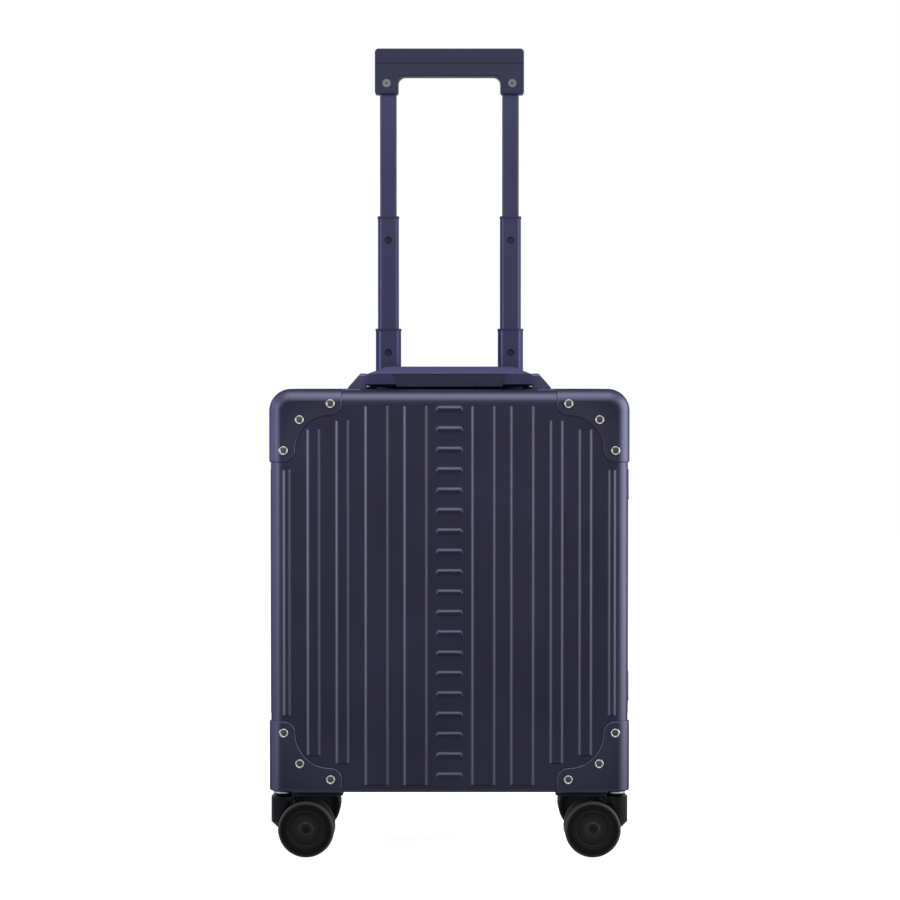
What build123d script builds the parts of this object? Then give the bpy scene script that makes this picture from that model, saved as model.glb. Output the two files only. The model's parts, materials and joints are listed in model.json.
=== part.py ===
"""Hard-shell aluminium suitcase on four twin-wheel casters, with a telescoping trolley handle.

Frame: +Z up, front face towards -Y, origin on the floor under the middle of the case. Millimetres.
Front half ("lid") and rear half are pressed sheet shells that meet at Y = 0 in two extruded frames.
"""

import math
import os

from build123d import *

# ---------------------------------------------------------------- clearances
fit_gap = 0.05  # between pieces that are assembled for good
run_gap = 0.3  # between pieces that move past each other
shaft_gap = 0.05  # radial, round shaft in its bore

# ---------------------------------------------------------------- case sheet
case_width = 359.0
case_depth = 207.0
case_base = 66.4  # underside of the sheet above the floor
case_height = 403.8
sheet = 1.5
edge_round = 12.0  # front and rear edges, sides and top
heel_round = 5.0  # front and rear edges, along the base
tight_round = 0.5  # least round of an inner corner
top_corner_round = 20.5  # upper corners, seen from the front
bottom_corner_round = 4.0
case_top = case_base + case_height
half_width = case_width / 2
half_depth = case_depth / 2
mid_height = case_base + case_height / 2

# pressed relief
rib_rise = 1.0
rib_flank = 62.0  # flank angle away from the face normal, degrees
rib_end_round = 5.0
wide_rib = 23.0
narrow_rib = 12.8
edge_rib = 8.4
wide_rib_centres = (34.0, 73.0)  # the ladder's neighbours, out from the middle
narrow_rib_centres = (half_width - 72.2, half_width - 43.3)  # the rest, in from the sides
edge_rib_centre = half_width - 16.5
wide_rib_low, wide_rib_high = case_base + 7.3, case_top - 15.5
narrow_rib_spans = ((case_base + 29.3, case_top - 30.0), (case_base + 37.3, case_top - 39.0))
edge_rib_low, edge_rib_high = case_base + 77.3, case_top - 79.5
side_rib_centres = (half_depth - 48.5, half_depth - 26.5)
louvre_pitch = 20.44
louvre_top = case_top - 14.9
louvre_width = 26.0
louvre_drop = 9.0
louvre_lip = 1.1
louvre_foot = 6.0  # the lowest tab ends at least this far above the base
louvre_count = int((louvre_top - louvre_drop - louvre_foot - case_base) / louvre_pitch) + 1
top_panel_width = 184.0
top_panel_depth = 66.0
top_panel_middle = half_depth / 2 - 0.75  # behind it the frame, in front of it the rounded edge
top_panel_round = 9.0

# ---------------------------------------------------------------- corner guards
guard = 1.6  # thickness
guard_leg = 73.5
guard_rivet_in = 15.0
guard_end_round = 11.6
guard_middle_rivet = 31.0
guard_notch_rise = 3.3  # the lower guards are cut away round the caster's cup
rivet_head = 4.9
rivet_rise = 2.3
rivet_shank = 2.0
rivet_tail = 2.4
rivet_tail_rise = 1.2

# ---------------------------------------------------------------- frames and seal
frame_depth = 9.0
frame_slot = 4.0
frame_inside = 8.0
frame_proud = 1.0
frame_chamfer = 1.0
seal_in = 4.0  # middle of the seal, inwards from the sheet's outer face
seal_width = 3.0
seal_depth = 2.0

# ---------------------------------------------------------------- hinge, on the left
hinge_length = 240.0
hinge_knuckles = 9
hinge_barrel = 2.5
hinge_pin_radius = 1.1
hinge_leaf = 1.2
hinge_axis_x = -(half_width + frame_proud + fit_gap + hinge_barrel)
side_reach = -hinge_axis_x + hinge_barrel  # the right side's fittings stand out as far

# ---------------------------------------------------------------- latches and lock, on the right
latch_spread = 104.5  # each latch above or below the middle
latch_heights = (mid_height - latch_spread, mid_height + latch_spread)
latch_width = 40.0  # along Z
latch_base = 1.6
latch_base_near, latch_base_far = 10.0, 36.0
latch_pivot_y = 28.0
latch_barrel = 2.0
latch_pin_radius = 1.2
latch_ear = 3.5
lever_thick = 2.6
lever_reach = 17.0  # past the seam
keeper_near, keeper_far = 10.0, 15.5
keeper_rise = 2.6
keeper_width = 20.0
lock_height = 58.0
lock_width = 24.0
lock_near = 10.0
lock_flange = 3.0
lock_flange_thick = 2.4
lock_face = 4.4  # cover, out from the sheet
lock_body_depth = 7.0  # below the sheet's outer face
dial_radius = 5.2
dial_thick = 4.4
dial_pitch = 8.0
dial_spindle = 1.5
dial_offset = 9.0  # first dial's centre below the lock's middle
dial_show = 1.4

# ---------------------------------------------------------------- lining
lining = 1.2
lining_gap = 0.35  # past the rivet tails

# ---------------------------------------------------------------- casters
caster_x = half_width - 10.5
caster_y = half_depth - 22.5
caster_trail = 24.6
wheel_radius = 28.3
wheel_width = 12.5
wheel_side_gap = 0.6
tyre_inner = 18.5
tyre_shoulder = 3.2
hub_width = 11.0
hub_boss = 6.4
hub_boss_rise = 0.5
hub_groove_in, hub_groove_out = 13.6, 17.2
hub_groove_depth = 0.8
axle_radius = 3.0
axle_head = 3.9
axle_head_thick = 1.6
fork_half = 6.4
fork_radius = 11.2
fork_low = wheel_radius + 0.8
fork_high = case_base - 3.2
fork_boss = 8.5
fork_shoulder, fork_toe = 3.0, 5.5  # chamfers of its upper and lower rims
well_gap = 0.8
kingpin_radius = 3.5
kingpin_head = 5.0
kingpin_head_low, kingpin_head_high = fork_low + 3.0, fork_low + 6.0
cup_radius = 9.0
cup_room = 1.0  # between the cup and the guard's notch
plate_thick = 2.0
plate_length = 50.0
plate_gap = 0.8  # between the plate and the fork's crown
plate_near, plate_far = caster_y - 21.0, caster_y + 20.0
neck_half = 6.0

# ---------------------------------------------------------------- carry handle
carry_end = 86.8
bracket_in, bracket_top_out, bracket_out = 87.5, 94.0, 107.0
bracket_high = case_top + 17.7
bracket_foot = case_top + 2.9
bracket_depth = 20.0
tube_y = half_depth - 25.5  # depth of the trolley's posts, behind the carry handle
carry_pivot_y, carry_pivot_z = tube_y - 25.0, case_top + 10.5
carry_pin_radius = 2.5
carry_pin_deep = 5.5
carry_pin_in_arm = 9.0
carry_low, carry_high = case_top + 1.2, case_top + 24.8
carry_end_low, carry_end_high = case_top + 4.7, case_top + 16.5
carry_top_flat, carry_bottom_flat = 66.0, 58.0
carry_front, carry_back = carry_pivot_y - 42.0, carry_pivot_y - 18.0
carry_top_chamfer = 7.0
carry_bottom_chamfer = 5.0
carry_arm_width = 11.5
carry_arm_round = 6.0
grip_half = 60.0
grip_thick = 2.6
grip_set_in = 0.4

# ---------------------------------------------------------------- trolley
tube_x = 65.0
tube_wall = 1.3
tube_gap = 1.0
inner_width, inner_depth = 17.6, 9.6
tube_round = 2.4
stage_step = 2 * (tube_wall + tube_gap)
middle_collar_top = 655.2
lower_collar_top = 535.7
lower_low = case_top - 106.5
housing_low = case_top - 177.5
collar_height = 2.5
collar_skirt = 8.0
sleeve_height = 12.0
sleeve_thick = tube_gap - run_gap - fit_gap
collar_proud = 0.5
lock_button_radius = 2.9
lock_button_drop = 25.6  # below the collar's top
lock_button_groove = 0.3
lock_hole_radius = 3.75
bezel_length, bezel_width, bezel_thick = 176.0, 26.4, 3.0
bezel_round = 8.0
bezel_chamfer = 1.0
foot_height = 12.0
foot_margin = 3.0
handle_half = 79.2
handle_low = 784.6
handle_arch, handle_high = handle_low + 18.6, handle_low + 48.1
handle_leg_in = 54.1
handle_depth = 21.0
handle_arch_round = 7.5
handle_corner = 4.0
handle_foot_round = 2.5
handle_edge = 1.8
handle_crease_z = handle_low + 32.2
handle_crease = 0.5
inner_high = handle_low + 18.7
screw_z = handle_low + 11.2
screw_head = 4.35
screw_head_thick = 1.0
screw_radius = 1.75
screw_reach = 7.0
button_length, button_width, button_tall = 43.4, 11.4, 11.2
button_travel = 4.0
button_set_down = 0.2
rod_radius = 1.8
rod_start = 18.0  # above the inner tube's foot
bridge_low, bridge_tall = handle_low + 25.3, 5.0
bridge_half_depth = 3.0


# ================================================================ shared forms
def case_profile(grow, base_drop=0.0):
    """Outline of the case seen from the front, moved outwards by grow; base_drop lengthens it below."""
    width = case_width + 2 * grow
    height = case_height + 2 * grow
    with BuildSketch() as outline:
        with Locations((0, mid_height - base_drop / 2)):
            Rectangle(width, height + base_drop)
        fillet(outline.vertices().group_by(Axis.Y)[-1], top_corner_round + grow)
        if not base_drop:
            base = outline.vertices().group_by(Axis.Y)[0]
            fillet(base, max(bottom_corner_round + grow, tight_round))
    return outline.sketch


def case_form(grow):
    """Front half of the case as one solid, moved outwards by grow, with its front edges rounded."""
    deep = half_depth + grow
    height = case_height + 2 * grow
    with BuildPart() as form:
        with BuildSketch(Plane.XZ):
            add(case_profile(grow, base_drop=2 * edge_round))
        extrude(amount=deep)
        front = form.faces().sort_by(Axis.Y)[0]
        fillet(front.edges(), edge_round + grow)
        with BuildSketch(Plane.XZ):
            add(case_profile(grow))
        extrude(amount=deep, mode=Mode.INTERSECT)
        with BuildSketch(Plane.YZ) as flank:
            with Locations((-deep / 2, mid_height)):
                Rectangle(deep, height)
            heel = flank.vertices().group_by(Axis.Y)[0].sort_by(Axis.X)[0]
            fillet(heel, max(heel_round + grow, tight_round))
        extrude(amount=case_width, both=True, mode=Mode.INTERSECT)
    return form.part


def case_ring(outer_grow, inner_grow, near, far):
    """Closed band that follows the case outline, between two depths in front of the seam."""
    with BuildPart() as ring:
        with BuildSketch(Plane.XZ.offset(near)):
            add(case_profile(outer_grow))
            add(case_profile(inner_grow), mode=Mode.SUBTRACT)
        extrude(amount=far - near)
    return ring.part


def guard_outline():
    """Flame-shaped outline of a corner guard, its corner at the sketch origin."""
    over = 2 * guard
    turn = guard_leg - guard_end_round
    shoulder = guard_rivet_in + guard_end_round
    hollow = turn - shoulder
    with BuildSketch() as outline:
        with BuildLine():
            Polyline(
                (guard_rivet_in, guard_leg),
                (-over, guard_leg),
                (-over, -over),
                (guard_leg, -over),
                (guard_leg, guard_rivet_in),
            )
            CenterArc((turn, guard_rivet_in), guard_end_round, 0, 90)
            CenterArc((turn, turn), hollow, 180, 90)
            CenterArc((guard_rivet_in, turn), guard_end_round, 0, 90)
        make_face()
    return outline.sketch


def guard_corner(side, end):
    """Nominal corner (x, y, z) of a front guard's outline; side is -1 left, 1 right, end is -1 low, 1 top."""
    return side * (half_width + guard), -(half_depth + guard), case_top + guard if end > 0 else case_base - guard


def guard_rivets(side, end):
    """Places (x, z) of the three rivets of a guard."""
    x, _, z = guard_corner(side, end)
    far = guard_leg - guard_end_round
    spots = (
        (far, guard_rivet_in),
        (guard_middle_rivet, guard_middle_rivet),
        (guard_rivet_in, far),
    )
    return [(x - side * u, z - end * v) for u, v in spots]


rivet_spots = [spot for side in (-1, 1) for end in (-1, 1) for spot in guard_rivets(side, end)]


def bars_along_y(spots, radius, low, high):
    """Round bars along Y from low to high, at (x, z) places."""
    with BuildPart() as bars:
        with BuildSketch(Plane.XZ.offset(-high)):
            with Locations(*spots):
                Circle(radius)
        extrude(amount=high - low)
    return bars.part


def bar_along_x(y, z, radius, low, high):
    """Round bar along X from low to high."""
    with BuildPart() as bar:
        with BuildSketch(Plane.YZ.offset(low)):
            with Locations((y, z)):
                Circle(radius)
        extrude(amount=high - low)
    return bar.part


def bars_along_z(spots, radius, low, high):
    """Round bars along Z from low to high, at (x, y) places."""
    with BuildPart() as bars:
        with BuildSketch(Plane.XY.offset(low)):
            with Locations(*spots):
                Circle(radius)
        extrude(amount=high - low)
    return bars.part


def block(low, high):
    """Box between two corners."""
    size = [b - a for a, b in zip(low, high)]
    middle = [(a + b) / 2 for a, b in zip(low, high)]
    with BuildPart() as box:
        with Locations(tuple(middle)):
            Box(*size)
    return box.part


outer_form = case_form(0)
inner_form = case_form(-sheet)
guard_outer_form = case_form(guard)
guard_inner_form = case_form(fit_gap)


# ================================================================ shells
def front_ribs():
    """Vertical ribs pressed into the front face."""
    wide_middle = (wide_rib_low + wide_rib_high) / 2
    edge_middle = (edge_rib_low + edge_rib_high) / 2
    with BuildPart() as ribs:
        with BuildSketch(Plane.XZ.offset(half_depth)):
            for side in (-1, 1):
                for centre in wide_rib_centres:
                    with Locations((side * centre, wide_middle)):
                        RectangleRounded(wide_rib, wide_rib_high - wide_rib_low, rib_end_round)
                for centre, (low, high) in zip(narrow_rib_centres, narrow_rib_spans):
                    with Locations((side * centre, (low + high) / 2)):
                        RectangleRounded(narrow_rib, high - low, rib_end_round)
                with Locations((side * edge_rib_centre, edge_middle)):
                    RectangleRounded(edge_rib, edge_rib_high - edge_rib_low, edge_rib / 2.1)
        extrude(amount=rib_rise, taper=rib_flank)
    return ribs.part


def side_ribs(side):
    """Vertical ribs pressed into one side of a half."""
    with BuildPart() as ribs:
        with BuildSketch(Plane.YZ.offset(half_width)):
            for centre in side_rib_centres:
                with Locations((-centre, (edge_rib_low + edge_rib_high) / 2)):
                    RectangleRounded(narrow_rib, edge_rib_high - edge_rib_low, rib_end_round)
        extrude(amount=rib_rise, taper=rib_flank)
        if side < 0:
            mirror(about=Plane.YZ, mode=Mode.REPLACE)
    return ribs.part


def louvre():
    """One pressed tab of the middle ladder: a sharp lip on top, fading into the face below."""
    with BuildPart() as tab:
        with BuildSketch(Plane.YZ.offset(-louvre_width / 2)):
            with BuildLine():
                Polyline(
                    (-half_depth, louvre_top),
                    (-half_depth - rib_rise, louvre_top - louvre_lip),
                    (-half_depth, louvre_top - louvre_drop),
                    close=True,
                )
            make_face()
        extrude(amount=louvre_width)
    return tab.part


def top_relief():
    """Raised field on top of the front half."""
    with BuildPart() as field:
        with BuildSketch(Plane.XY.offset(case_top)):
            with Locations((0, -top_panel_middle)):
                RectangleRounded(top_panel_width, top_panel_depth, top_panel_round)
        extrude(amount=rib_rise, taper=rib_flank)
    return field.part


def half_shell(extra_relief):
    """One pressed half, open at its frame, in front orientation."""
    edge = frame_depth - frame_slot + fit_gap
    reach = half_width + 2 * guard
    tab = louvre()
    with BuildPart() as shell:
        add(outer_form)
        add(front_ribs())
        for side in (-1, 1):
            add(side_ribs(side))
        for step in range(louvre_count):
            with Locations((0, 0, -step * louvre_pitch)):
                add(tab)
        for relief in extra_relief:
            add(relief)
        add(inner_form, mode=Mode.SUBTRACT)
        opening = block((-reach, -edge, case_base - sheet), (reach, edge, case_top + 2 * guard))
        add(opening, mode=Mode.SUBTRACT)
        holes = bars_along_y(rivet_spots, rivet_shank + fit_gap, -half_depth - sheet, -half_depth + 2 * sheet)
        add(holes, mode=Mode.SUBTRACT)
    return shell.part


def tube_bars(width, depth, radius, low, high):
    """The two upright rounded bars that a trolley stage fills, left and right."""
    with BuildPart() as bars:
        with BuildSketch(Plane.XY.offset(low)):
            with Locations((-tube_x, tube_y), (tube_x, tube_y)):
                RectangleRounded(width, depth, radius)
        extrude(amount=high - low)
    return bars.part


with BuildPart() as front_shell:
    add(half_shell([top_relief()]))
front_shell.part.label = "front_shell"

lock_middle = mid_height
lock_block_near = lock_near + lock_flange
lock_block_far = lock_block_near + lock_width
lock_block_half = lock_height / 2 - lock_flange
housing_width = inner_width + 3 * stage_step
housing_depth = inner_depth + 3 * stage_step
housing_round = tube_round + 1.5 * stage_step

with BuildPart() as rear_shell:
    add(half_shell([]).mirror(Plane.XZ))
    lock_cut = block(
        (half_width - 2 * sheet, lock_block_near - run_gap, lock_middle - lock_block_half - run_gap),
        (half_width + 2 * sheet, lock_block_far + run_gap, lock_middle + lock_block_half + run_gap),
    )
    add(lock_cut, mode=Mode.SUBTRACT)
    housing_cut = tube_bars(
        housing_width + 2 * fit_gap,
        housing_depth + 2 * fit_gap,
        housing_round + fit_gap,
        case_top - 2 * sheet,
        case_top + 2 * sheet,
    )
    add(housing_cut, mode=Mode.SUBTRACT)
rear_shell.part.label = "rear_shell"


# ================================================================ corner guards and rivets
def corner_guard(side, end):
    """Three-sided pressed cap over one front corner."""
    x, y, z = guard_corner(side, end)
    reach = 2 * guard_leg
    reach_out = half_width + 2 * guard
    front_plane = Plane(origin=(x, y, z), x_dir=(-side, 0, 0), z_dir=(0, -side * end, 0))
    side_plane = Plane(origin=(x, y, z), x_dir=(0, 1, 0), z_dir=(-end, 0, 0))
    top_plane = Plane(origin=(x, y, z), x_dir=(-side, 0, 0), z_dir=(0, 0, -side))
    holes = bars_along_y(guard_rivets(side, end), rivet_shank + fit_gap, y - guard, -half_depth + guard)
    with BuildPart() as cap:
        with BuildSketch(front_plane):
            add(guard_outline())
        extrude(amount=reach, both=True)
        with BuildSketch(side_plane):
            add(guard_outline())
        extrude(amount=reach, both=True, mode=Mode.INTERSECT)
        with BuildSketch(top_plane):
            add(guard_outline())
        extrude(amount=reach, both=True, mode=Mode.INTERSECT)
        add(guard_outer_form, mode=Mode.INTERSECT)
        add(guard_inner_form, mode=Mode.SUBTRACT)
        add(holes, mode=Mode.SUBTRACT)
        if end < 0:
            near, far = sorted((side * (caster_x - cup_radius - cup_room), side * reach_out))
            notch = block((near, -reach_out, 0), (far, cup_radius + cup_room - caster_y, z + guard_notch_rise))
            add(notch, mode=Mode.SUBTRACT)
    return cap.part


with BuildPart() as front_corner_guards:
    for guard_side in (-1, 1):
        for guard_end in (-1, 1):
            add(corner_guard(guard_side, guard_end))
front_corner_guards.part.label = "front_corner_guards"

with BuildPart() as rear_corner_guards:
    add(front_corner_guards.part.mirror(Plane.XZ))
rear_corner_guards.part.label = "rear_corner_guards"

rivet_face = half_depth + guard
rivet_grip = guard + sheet
dome_sphere = (rivet_head**2 + rivet_rise**2) / (2 * rivet_rise)

with BuildPart() as one_rivet:
    with BuildSketch(Plane.XY):
        with BuildLine():
            Polyline(
                (0, fit_gap + rivet_rise),
                (0, -rivet_grip - fit_gap - rivet_tail_rise),
                (rivet_tail, -rivet_grip - fit_gap - rivet_tail_rise),
                (rivet_tail, -rivet_grip - fit_gap),
                (rivet_shank, -rivet_grip - fit_gap),
                (rivet_shank, fit_gap),
                (rivet_head, fit_gap),
            )
            RadiusArc((rivet_head, fit_gap), (0, fit_gap + rivet_rise), -dome_sphere)
        make_face()
    revolve(axis=Axis.Y)

with BuildPart() as front_guard_rivets:
    for rivet_x, rivet_z in rivet_spots:
        with Locations(Location((rivet_x, -rivet_face, rivet_z), (180, 0, 0))):
            add(one_rivet.part)
front_guard_rivets.part.label = "front_guard_rivets"

with BuildPart() as rear_guard_rivets:
    add(front_guard_rivets.part.mirror(Plane.XZ))
rear_guard_rivets.part.label = "rear_guard_rivets"


# ================================================================ edge frames, seal and linings
slot_start = frame_depth - frame_slot

with BuildPart() as front_frame:
    add(case_ring(frame_proud, -frame_inside, run_gap / 2, frame_depth))
    rims = front_frame.faces().filter_by(Axis.Y)
    chamfer([rim.outer_wire().edges() for rim in rims], frame_proud / 2)
    add(case_ring(fit_gap, -sheet - fit_gap, slot_start, frame_depth), mode=Mode.SUBTRACT)
front_frame.part.label = "front_frame"

seal_out = seal_in - seal_width / 2
with BuildPart() as rear_frame:
    add(front_frame.part.mirror(Plane.XZ))
    groove = case_ring(-seal_out, -seal_out - seal_width, run_gap / 2, run_gap / 2 + seal_depth)
    add(groove.mirror(Plane.XZ), mode=Mode.SUBTRACT)
rear_frame.part.label = "rear_frame"

with BuildPart() as frame_seal:
    band = case_ring(
        -seal_out - fit_gap,
        -seal_out - seal_width + fit_gap,
        run_gap / 2,
        run_gap / 2 + seal_depth - fit_gap,
    )
    add(band.mirror(Plane.XZ))
frame_seal.part.label = "frame_seal"

lining_out = -(sheet + fit_gap + rivet_tail_rise + lining_gap)
lining_start = frame_depth + fit_gap
foot_near = tube_y - housing_depth / 2 - foot_margin  # nearest face of the trolley's foot


def lining_tub(deep):
    """Thin moulded tub inside the front half; deep is where its back panel's far side lies."""
    reach = half_width + guard
    keep = block((-reach, -deep, case_base), (reach, -lining_start, case_top))
    hollow = block((-reach, -deep + lining, case_base), (reach, guard, case_top))
    with BuildPart() as core:
        add(case_form(lining_out - lining))
        add(hollow, mode=Mode.INTERSECT)
    with BuildPart() as tub:
        add(case_form(lining_out))
        add(keep, mode=Mode.INTERSECT)
        add(core.part, mode=Mode.SUBTRACT)
    return tub.part


with BuildPart() as front_lining:
    add(lining_tub(half_depth))
front_lining.part.label = "front_lining"

with BuildPart() as rear_lining:
    add(lining_tub(foot_near - run_gap).mirror(Plane.XZ))
    lock_room = block(
        (half_width - lock_body_depth - run_gap, lock_block_near - run_gap, lock_middle - lock_block_half - run_gap),
        (half_width, lock_block_far + run_gap, lock_middle + lock_block_half + run_gap),
    )
    add(lock_room, mode=Mode.SUBTRACT)
rear_lining.part.label = "rear_lining"


# ================================================================ hinge
knuckle_pitch = hinge_length / hinge_knuckles
hinge_low = mid_height - hinge_length / 2
leaf_face = -(half_width + frame_proud + fit_gap)
leaf_reach = frame_depth - fit_gap
leaf_clear = hinge_barrel + run_gap


def hinge_leaf_part(turn, first):
    """Leaf with every other knuckle; turn is -1 for the front leaf and 1 for the rear one."""
    near, far = sorted((turn * leaf_clear, turn * leaf_reach))
    with BuildPart() as leaf:
        add(block((leaf_face - hinge_leaf, near, hinge_low), (leaf_face, far, hinge_low + hinge_length)))
        for number in range(first, hinge_knuckles, 2):
            low = hinge_low + number * knuckle_pitch + run_gap / 2
            high = low + knuckle_pitch - run_gap
            add(bars_along_z([(hinge_axis_x, 0)], hinge_barrel, low, high))
            near, far = sorted((0, turn * leaf_reach))
            add(block((leaf_face - hinge_leaf, near, low), (leaf_face, far, high)))
        bore = bars_along_z([(hinge_axis_x, 0)], hinge_pin_radius + shaft_gap, hinge_low, hinge_low + hinge_length)
        add(bore, mode=Mode.SUBTRACT)
    return leaf.part


with BuildPart() as hinge_rear_leaf:
    add(hinge_leaf_part(1, 0))
hinge_rear_leaf.part.label = "hinge_rear_leaf"

with BuildPart() as hinge_front_leaf:
    add(hinge_leaf_part(-1, 1))
hinge_front_leaf.part.label = "hinge_front_leaf"

with BuildPart() as hinge_pin:
    add(bars_along_z([(hinge_axis_x, 0)], hinge_pin_radius, hinge_low, hinge_low + hinge_length))
hinge_pin.part.label = "hinge_pin"


# ================================================================ latches
side_face = half_width + fit_gap
latch_top = side_face + latch_base
lever_out = side_reach
latch_pivot_x = lever_out - latch_barrel
lever_half = latch_width / 2 - latch_ear - run_gap
ear_half = latch_barrel + 1.0

with BuildPart() as latch_bases:
    for height in latch_heights:
        low, high = height - latch_width / 2, height + latch_width / 2
        add(block((side_face, latch_base_near, low), (latch_top, latch_base_far, high)))
        for start, end in ((low, low + latch_ear), (high - latch_ear, high)):
            add(block((side_face, latch_pivot_y - ear_half, start), (lever_out, latch_pivot_y + ear_half, end)))
        bore = bars_along_z([(latch_pivot_x, latch_pivot_y)], latch_pin_radius + fit_gap, low, high)
        add(bore, mode=Mode.SUBTRACT)
latch_bases.part.label = "latch_bases"

with BuildPart() as latch_pins:
    for height in latch_heights:
        low, high = height - latch_width / 2, height + latch_width / 2
        add(bars_along_z([(latch_pivot_x, latch_pivot_y)], latch_pin_radius, low, high))
latch_pins.part.label = "latch_pins"


def latch_lever(height):
    """Lever that reaches over the seam and lies on the keeper; it turns about an upright pin."""
    low, high = height - lever_half, height + lever_half
    with BuildPart() as lever:
        add(bars_along_z([(latch_pivot_x, latch_pivot_y)], latch_barrel, low, high))
        add(block((lever_out - lever_thick, -lever_reach, low), (lever_out, latch_pivot_y, high)))
        ends = lever.edges().filter_by(Axis.X).group_by(Axis.Y)[0]
        fillet(ends, lever_half / 3)
        lips = lever.faces().sort_by(Axis.X)[-1].edges().group_by(Axis.Y)[0]
        chamfer(lips, lever_thick / 3)
        bore = bars_along_z([(latch_pivot_x, latch_pivot_y)], latch_pin_radius + shaft_gap, low, high)
        add(bore, mode=Mode.SUBTRACT)
    return lever.part


with BuildPart() as lower_latch_lever:
    add(latch_lever(latch_heights[0]))
lower_latch_lever.part.label = "lower_latch_lever"

with BuildPart() as upper_latch_lever:
    add(latch_lever(latch_heights[1]))
upper_latch_lever.part.label = "upper_latch_lever"

with BuildPart() as latch_keepers:
    for height in latch_heights:
        low, high = height - keeper_width / 2, height + keeper_width / 2
        foot = sheet
        add(block((side_face, -keeper_far - foot, low - foot), (side_face + foot, -keeper_near, high + foot)))
        add(block((side_face, -keeper_far, low), (side_face + keeper_rise, -keeper_near, high)))
latch_keepers.part.label = "latch_keepers"


# ================================================================ combination lock
lock_middle_y = lock_block_near + lock_width / 2
lock_cover = half_width + lock_face
dial_x = lock_cover + dial_show - dial_radius
dial_middles = [lock_middle - dial_offset + number * dial_pitch for number in range(3)]
spindle_half = 1.5 * dial_pitch + dial_thick

with BuildPart() as lock_case:
    flange_low, flange_high = lock_middle - lock_height / 2, lock_middle + lock_height / 2
    add(
        block(
            (side_face, lock_near, flange_low),
            (side_face + lock_flange_thick, lock_block_far + lock_flange, flange_high),
        )
    )
    fillet(lock_case.edges().filter_by(Axis.X), lock_flange)
    add(
        block(
            (half_width - lock_body_depth, lock_block_near, lock_middle - lock_block_half),
            (lock_cover, lock_block_far, lock_middle + lock_block_half),
        )
    )
    chamfer(lock_case.faces().sort_by(Axis.X)[-1].edges(), lock_flange / 3)
    for dial_z in dial_middles:
        room = dial_radius + run_gap
        half = dial_thick / 2 + run_gap
        slot = block((dial_x - room, lock_middle_y - room, dial_z - half), (side_reach, lock_middle_y + room, dial_z + half))
        add(slot, mode=Mode.SUBTRACT)
    spindle_low, spindle_high = dial_middles[1] - spindle_half, dial_middles[1] + spindle_half
    bore = bars_along_z([(dial_x, lock_middle_y)], dial_spindle + fit_gap, spindle_low - fit_gap, spindle_high + fit_gap)
    add(bore, mode=Mode.SUBTRACT)
lock_case.part.label = "lock_case"

with BuildPart() as dial_pin:
    add(bars_along_z([(dial_x, lock_middle_y)], dial_spindle, spindle_low, spindle_high))
dial_pin.part.label = "dial_spindle"


def number_dial(dial_z):
    """Thin ten-sided number wheel on the spindle."""
    low = dial_z - dial_thick / 2
    with BuildPart() as dial:
        with BuildSketch(Plane.XY.offset(low)):
            with Locations((dial_x, lock_middle_y)):
                RegularPolygon(dial_radius, 10, rotation=18)
                Circle(dial_spindle + shaft_gap, mode=Mode.SUBTRACT)
        extrude(amount=dial_thick)
    return dial.part


dials = []
for dial_number, dial_z in enumerate(dial_middles, start=1):
    with BuildPart() as dial:
        add(number_dial(dial_z))
    dial.part.label = f"number_dial_{dial_number}"
    dials.append(dial)


# ================================================================ casters
plate_high = case_base - guard - fit_gap
plate_low = plate_high - plate_thick
cup_low = fork_high + run_gap
wheel_near = fork_half + wheel_side_gap
wheel_far = wheel_near + wheel_width
hub_far = wheel_near + hub_width
hub_face = hub_far + hub_boss_rise
recess_floor = hub_face - axle_head_thick - run_gap
axle_z = wheel_radius


def caster_plate(side):
    """Base plate under the front half, joined by a neck to the cup of the swivel and its kingpin."""
    x = side * caster_x
    plate_end = caster_x - fork_radius - plate_gap
    near, far = sorted((side * (plate_end - plate_length), side * plate_end))
    neck_near, neck_far = sorted((side * (plate_end - neck_half), x))
    spot = [(x, -caster_y)]
    with BuildPart() as plate:
        with BuildSketch(Plane.XY.offset(plate_low)):
            with Locations(((near + far) / 2, -(plate_near + plate_far) / 2)):
                RectangleRounded(plate_length, plate_far - plate_near, edge_round / 2)
        extrude(amount=plate_thick)
        add(bars_along_z(spot, cup_radius, cup_low, case_base - fit_gap))
        add(block((neck_near, -caster_y - neck_half, cup_low), (neck_far, -caster_y + neck_half, plate_high)))
        add(bars_along_z(spot, kingpin_radius, kingpin_head_low, cup_low))
        add(bars_along_z(spot, kingpin_head, kingpin_head_low, kingpin_head_high))
    return plate.part


with BuildPart() as front_caster_plates:
    add(caster_plate(-1))
    add(caster_plate(1))
front_caster_plates.part.label = "front_caster_plates"

with BuildPart() as rear_caster_plates:
    add(front_caster_plates.part.mirror(Plane.XZ))
rear_caster_plates.part.label = "rear_caster_plates"

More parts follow.
